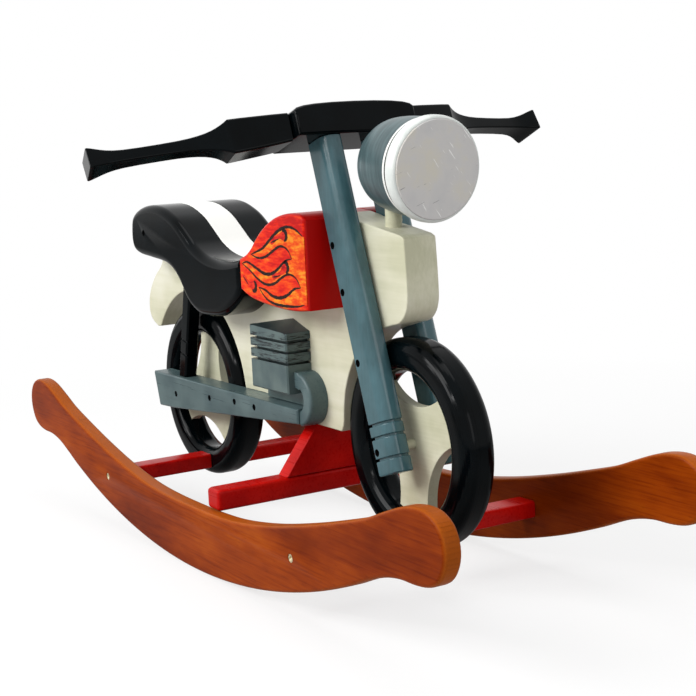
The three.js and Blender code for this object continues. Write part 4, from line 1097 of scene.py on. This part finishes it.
# %% Paint the lens
lens_paint, tree, shader, place = finish_named("lamp_lens_enamel")
lilac_grey = [(0.34, "#cac9c9"), (0.5, "#d1cfcd"), (0.68, "#d6d1c3")]
coat = clouded(tree, place, 26.0, lilac_grey, detail=4.0, roughness=0.55)
for turned_by, tone, lowest in ((0.9, "#f4f3f1", 0.69), (-0.35, "#858286", 0.71)):
    leaning = add(tree, "Mapping", Vector=place, Rotation=(turned_by, 0, 0))
    marks = drawn_out(tree, leaning, (30, 45, 620), detail=2.0, roughness=0.5)
    scratch = add(
        tree, "ValToRGB", Fac=marks, stops=[(lowest, "#000000"), (lowest + 0.02, "#ffffff")],
    )
    coat = add(
        tree, "Mix", COLOURS, i0=scratch, i6=coat, i7=linear(tone),
    )
feed(tree, shader, Base_Color=coat, Roughness=0.42)
keep(bowl, bowl_paint, "headlight_bucket", slot="slate_paint")
keep(rim, rim_paint, "headlight_rim", slot="white_paint")
keep(lens, lens_paint, "headlight_lens", slot="pale_lilac_paint")
print("lens nodes:", len(tree.nodes))

# %% [markdown]
# ## Rocker screws
# Four screws with a cross recess hold the rails and show as bright dots on the rockers. Their
# shape comes from the solid. Two thin bars cut the cross into a welded copy.

# %% Cut the cross recesses
SCREW_FACE = 146.4
CROSS_LONG, CROSS_WIDE, CROSS_DEEP = 4.6, 1.4, 1.5


def cross_recess(piece, centre, side):
    middle = Vector((centre[0], side * SCREW_FACE, centre[1])) / 1000
    for width, height in ((CROSS_LONG, CROSS_WIDE), (CROSS_WIDE, CROSS_LONG)):
        cut_away(piece, started(
            bpy.ops.mesh.primitive_cube_add,
            size=1, location=middle, scale=Vector((width, 2 * CROSS_DEEP, height)) / 1000,
        ))


for end, x in (("front", RAIL_SCREW[0]), ("rear", -RAIL_SCREW[0])):
    for side_name, side in (("right", -1), ("left", 1)):
        head = welded(f"rocker_screw_{end}_{side_name}", f"cross_screw_{end}_{side_name}")
        cross_recess(head, (x, RAIL_SCREW[1]), side)
        print("cross screw:", len(head.data.polygons), "faces")
        even_shading(head, 30)
        keep(head, zinc_steel, f"rocker_screw_{end}_{side_name}", slot="bright_screws")

# %% [markdown]
# ## Dowels
# The lamp stands on a dowel and another pins each wheel's board, all painted cream with their
# boards. The lamp's dowel shows, so it is lofted with more sides and has a little bead of paint at
# its foot. The wheels' dowels are softened copies of their solids.

# %% Round the dowels
def circle(radius, height, centre_x, sides=40):
    turns = [math.tau * i / sides for i in range(sides)]
    return [(centre_x + radius * math.cos(t), radius * math.sin(t), height) for t in turns]


POST_X = 186
post = lofted("lamp_post", [
    circle(radius, height, POST_X)
    for height, radius in ((334, 8), (350, 8), (356, 8.0), (357.5, 8.3), (359, 8.05), (386, 8))
])
even_shading(post)
keep(post, cream_enamel, "headlight_post", slot="cream_paint")
for end in ("front", "rear"):
    dowel = softened(f"{end}_axle", f"dowel_{end}", 0.4)
    keep(dowel, cream_enamel, f"{end}_axle", slot="cream_paint")
print("dowel faces:", len(dowel.data.polygons))

# %% [markdown]
# ## Solids that stay
# The other screws keep their solids and only take a finish.

# %% Finish the solids that stay
# The near-black finish on these screws is painted shade in their counterbores.
for name, node in nodes.items():
    if "screw" in name:
        node.data.materials.clear()
        node.data.materials.append(bore_shade_steel)
print("solids with a finish:", sum(1 for n in nodes.values() if n.data.materials))

# %% [markdown]
# ## Studio
# The photograph has a pure white ground and one broad soft light from the toy's right, so the
# faces that look forward fall into shade. A large lamp stands on that side, weak ones hang
# overhead and stand in front, and the world fills the rest. A thin strip draws the narrow bright
# lines that lacquer shows along its rounded edges. The world shows white to the camera, in
# reflections and through glass, and lights the toy less. The floor is pale paper that only the
# camera sees as white, and far from the toy it fades into the ground.

# %% Light the studio
world = bpy.data.worlds.new("studio")
bpy.context.scene.world = world
world.use_nodes = True
tree = world.node_tree
tree.nodes.clear()
rays = add(tree, "LightPath")
shown = rays.outputs["Is Camera Ray"]
for kind in ("Is Transmission Ray", "Is Glossy Ray"):
    shown = add(tree, "Math", "MAXIMUM", i0=shown, i1=rays.outputs[kind])
strength = add(tree, "MapRange", Value=shown, To_Min=0.45, To_Max=1.0)
sky = add(tree, "Background", Color=linear("#ffffff"), Strength=strength)
add(tree, "OutputWorld", Surface=sky)


def lamp(name, place, target, size, watts):
    bpy.ops.object.light_add(type="AREA", location=place)
    light = bpy.context.object
    light.name = name
    light.data.shape = "RECTANGLE"
    light.data.size, light.data.size_y = size
    light.data.energy = watts
    light.rotation_euler = (Vector(place) - Vector(target)).to_track_quat("Z", "Y").to_euler()


lamp("window_side", (-0.5, -2.3, 1.7), (0, 0, 0.2), (1.7, 1.3), 63)
lamp("overhead", (0.1, 0.2, 2.6), (0, 0, 0.2), (1.6, 1.6), 18)
lamp("front_fill", (2.5, 0.3, 1.0), (0, 0, 0.3), (1.2, 1.2), 8)
lamp("thin_strip", (0.9, -2.1, 1.5), (0, 0, 0.3), (0.9, 0.07), 8)

bpy.ops.object.select_all(action="DESELECT")
bpy.ops.mesh.primitive_plane_add(size=12, location=(0, 0, -0.0005))
floor = bpy.context.object
floor.name = "studio_floor"
floor_white, tree, shader, place = finish_named("floor_paper")
rays = add(tree, "LightPath")
paper = add(
    tree, "Mix", COLOURS,
    i0=rays.outputs["Is Camera Ray"], i6=linear("#b9b9b9"), i7=linear("#f6f6f6"),
)
feed(tree, shader, Base_Color=paper, Roughness=0.9)
glow = add(tree, "Emission", Color=linear("#ffffff"), Strength=1.0)
away = add(tree, "VectorMath", "LENGTH", i0=place)
fade = add(tree, "MapRange", Value=away, From_Min=0.55, From_Max=1.3, To_Min=0.74, To_Max=1.0)
share = add(tree, "Math", "MULTIPLY", i0=rays.outputs["Is Camera Ray"], i1=fade)
mixed = add(tree, "MixShader", i0=share, i1=shader, i2=glow)
feed(tree, tree.nodes["Material Output"], Surface=mixed)
floor.data.materials.append(floor_white)
bpy.context.scene.view_settings.view_transform = "Standard"

# %% [markdown]
# ## Count the pieces
# The dressed toy should fill the same box as its solids; this cell only counts its pieces.

# %% Count the pieces
print("pieces:", len(PIECES))
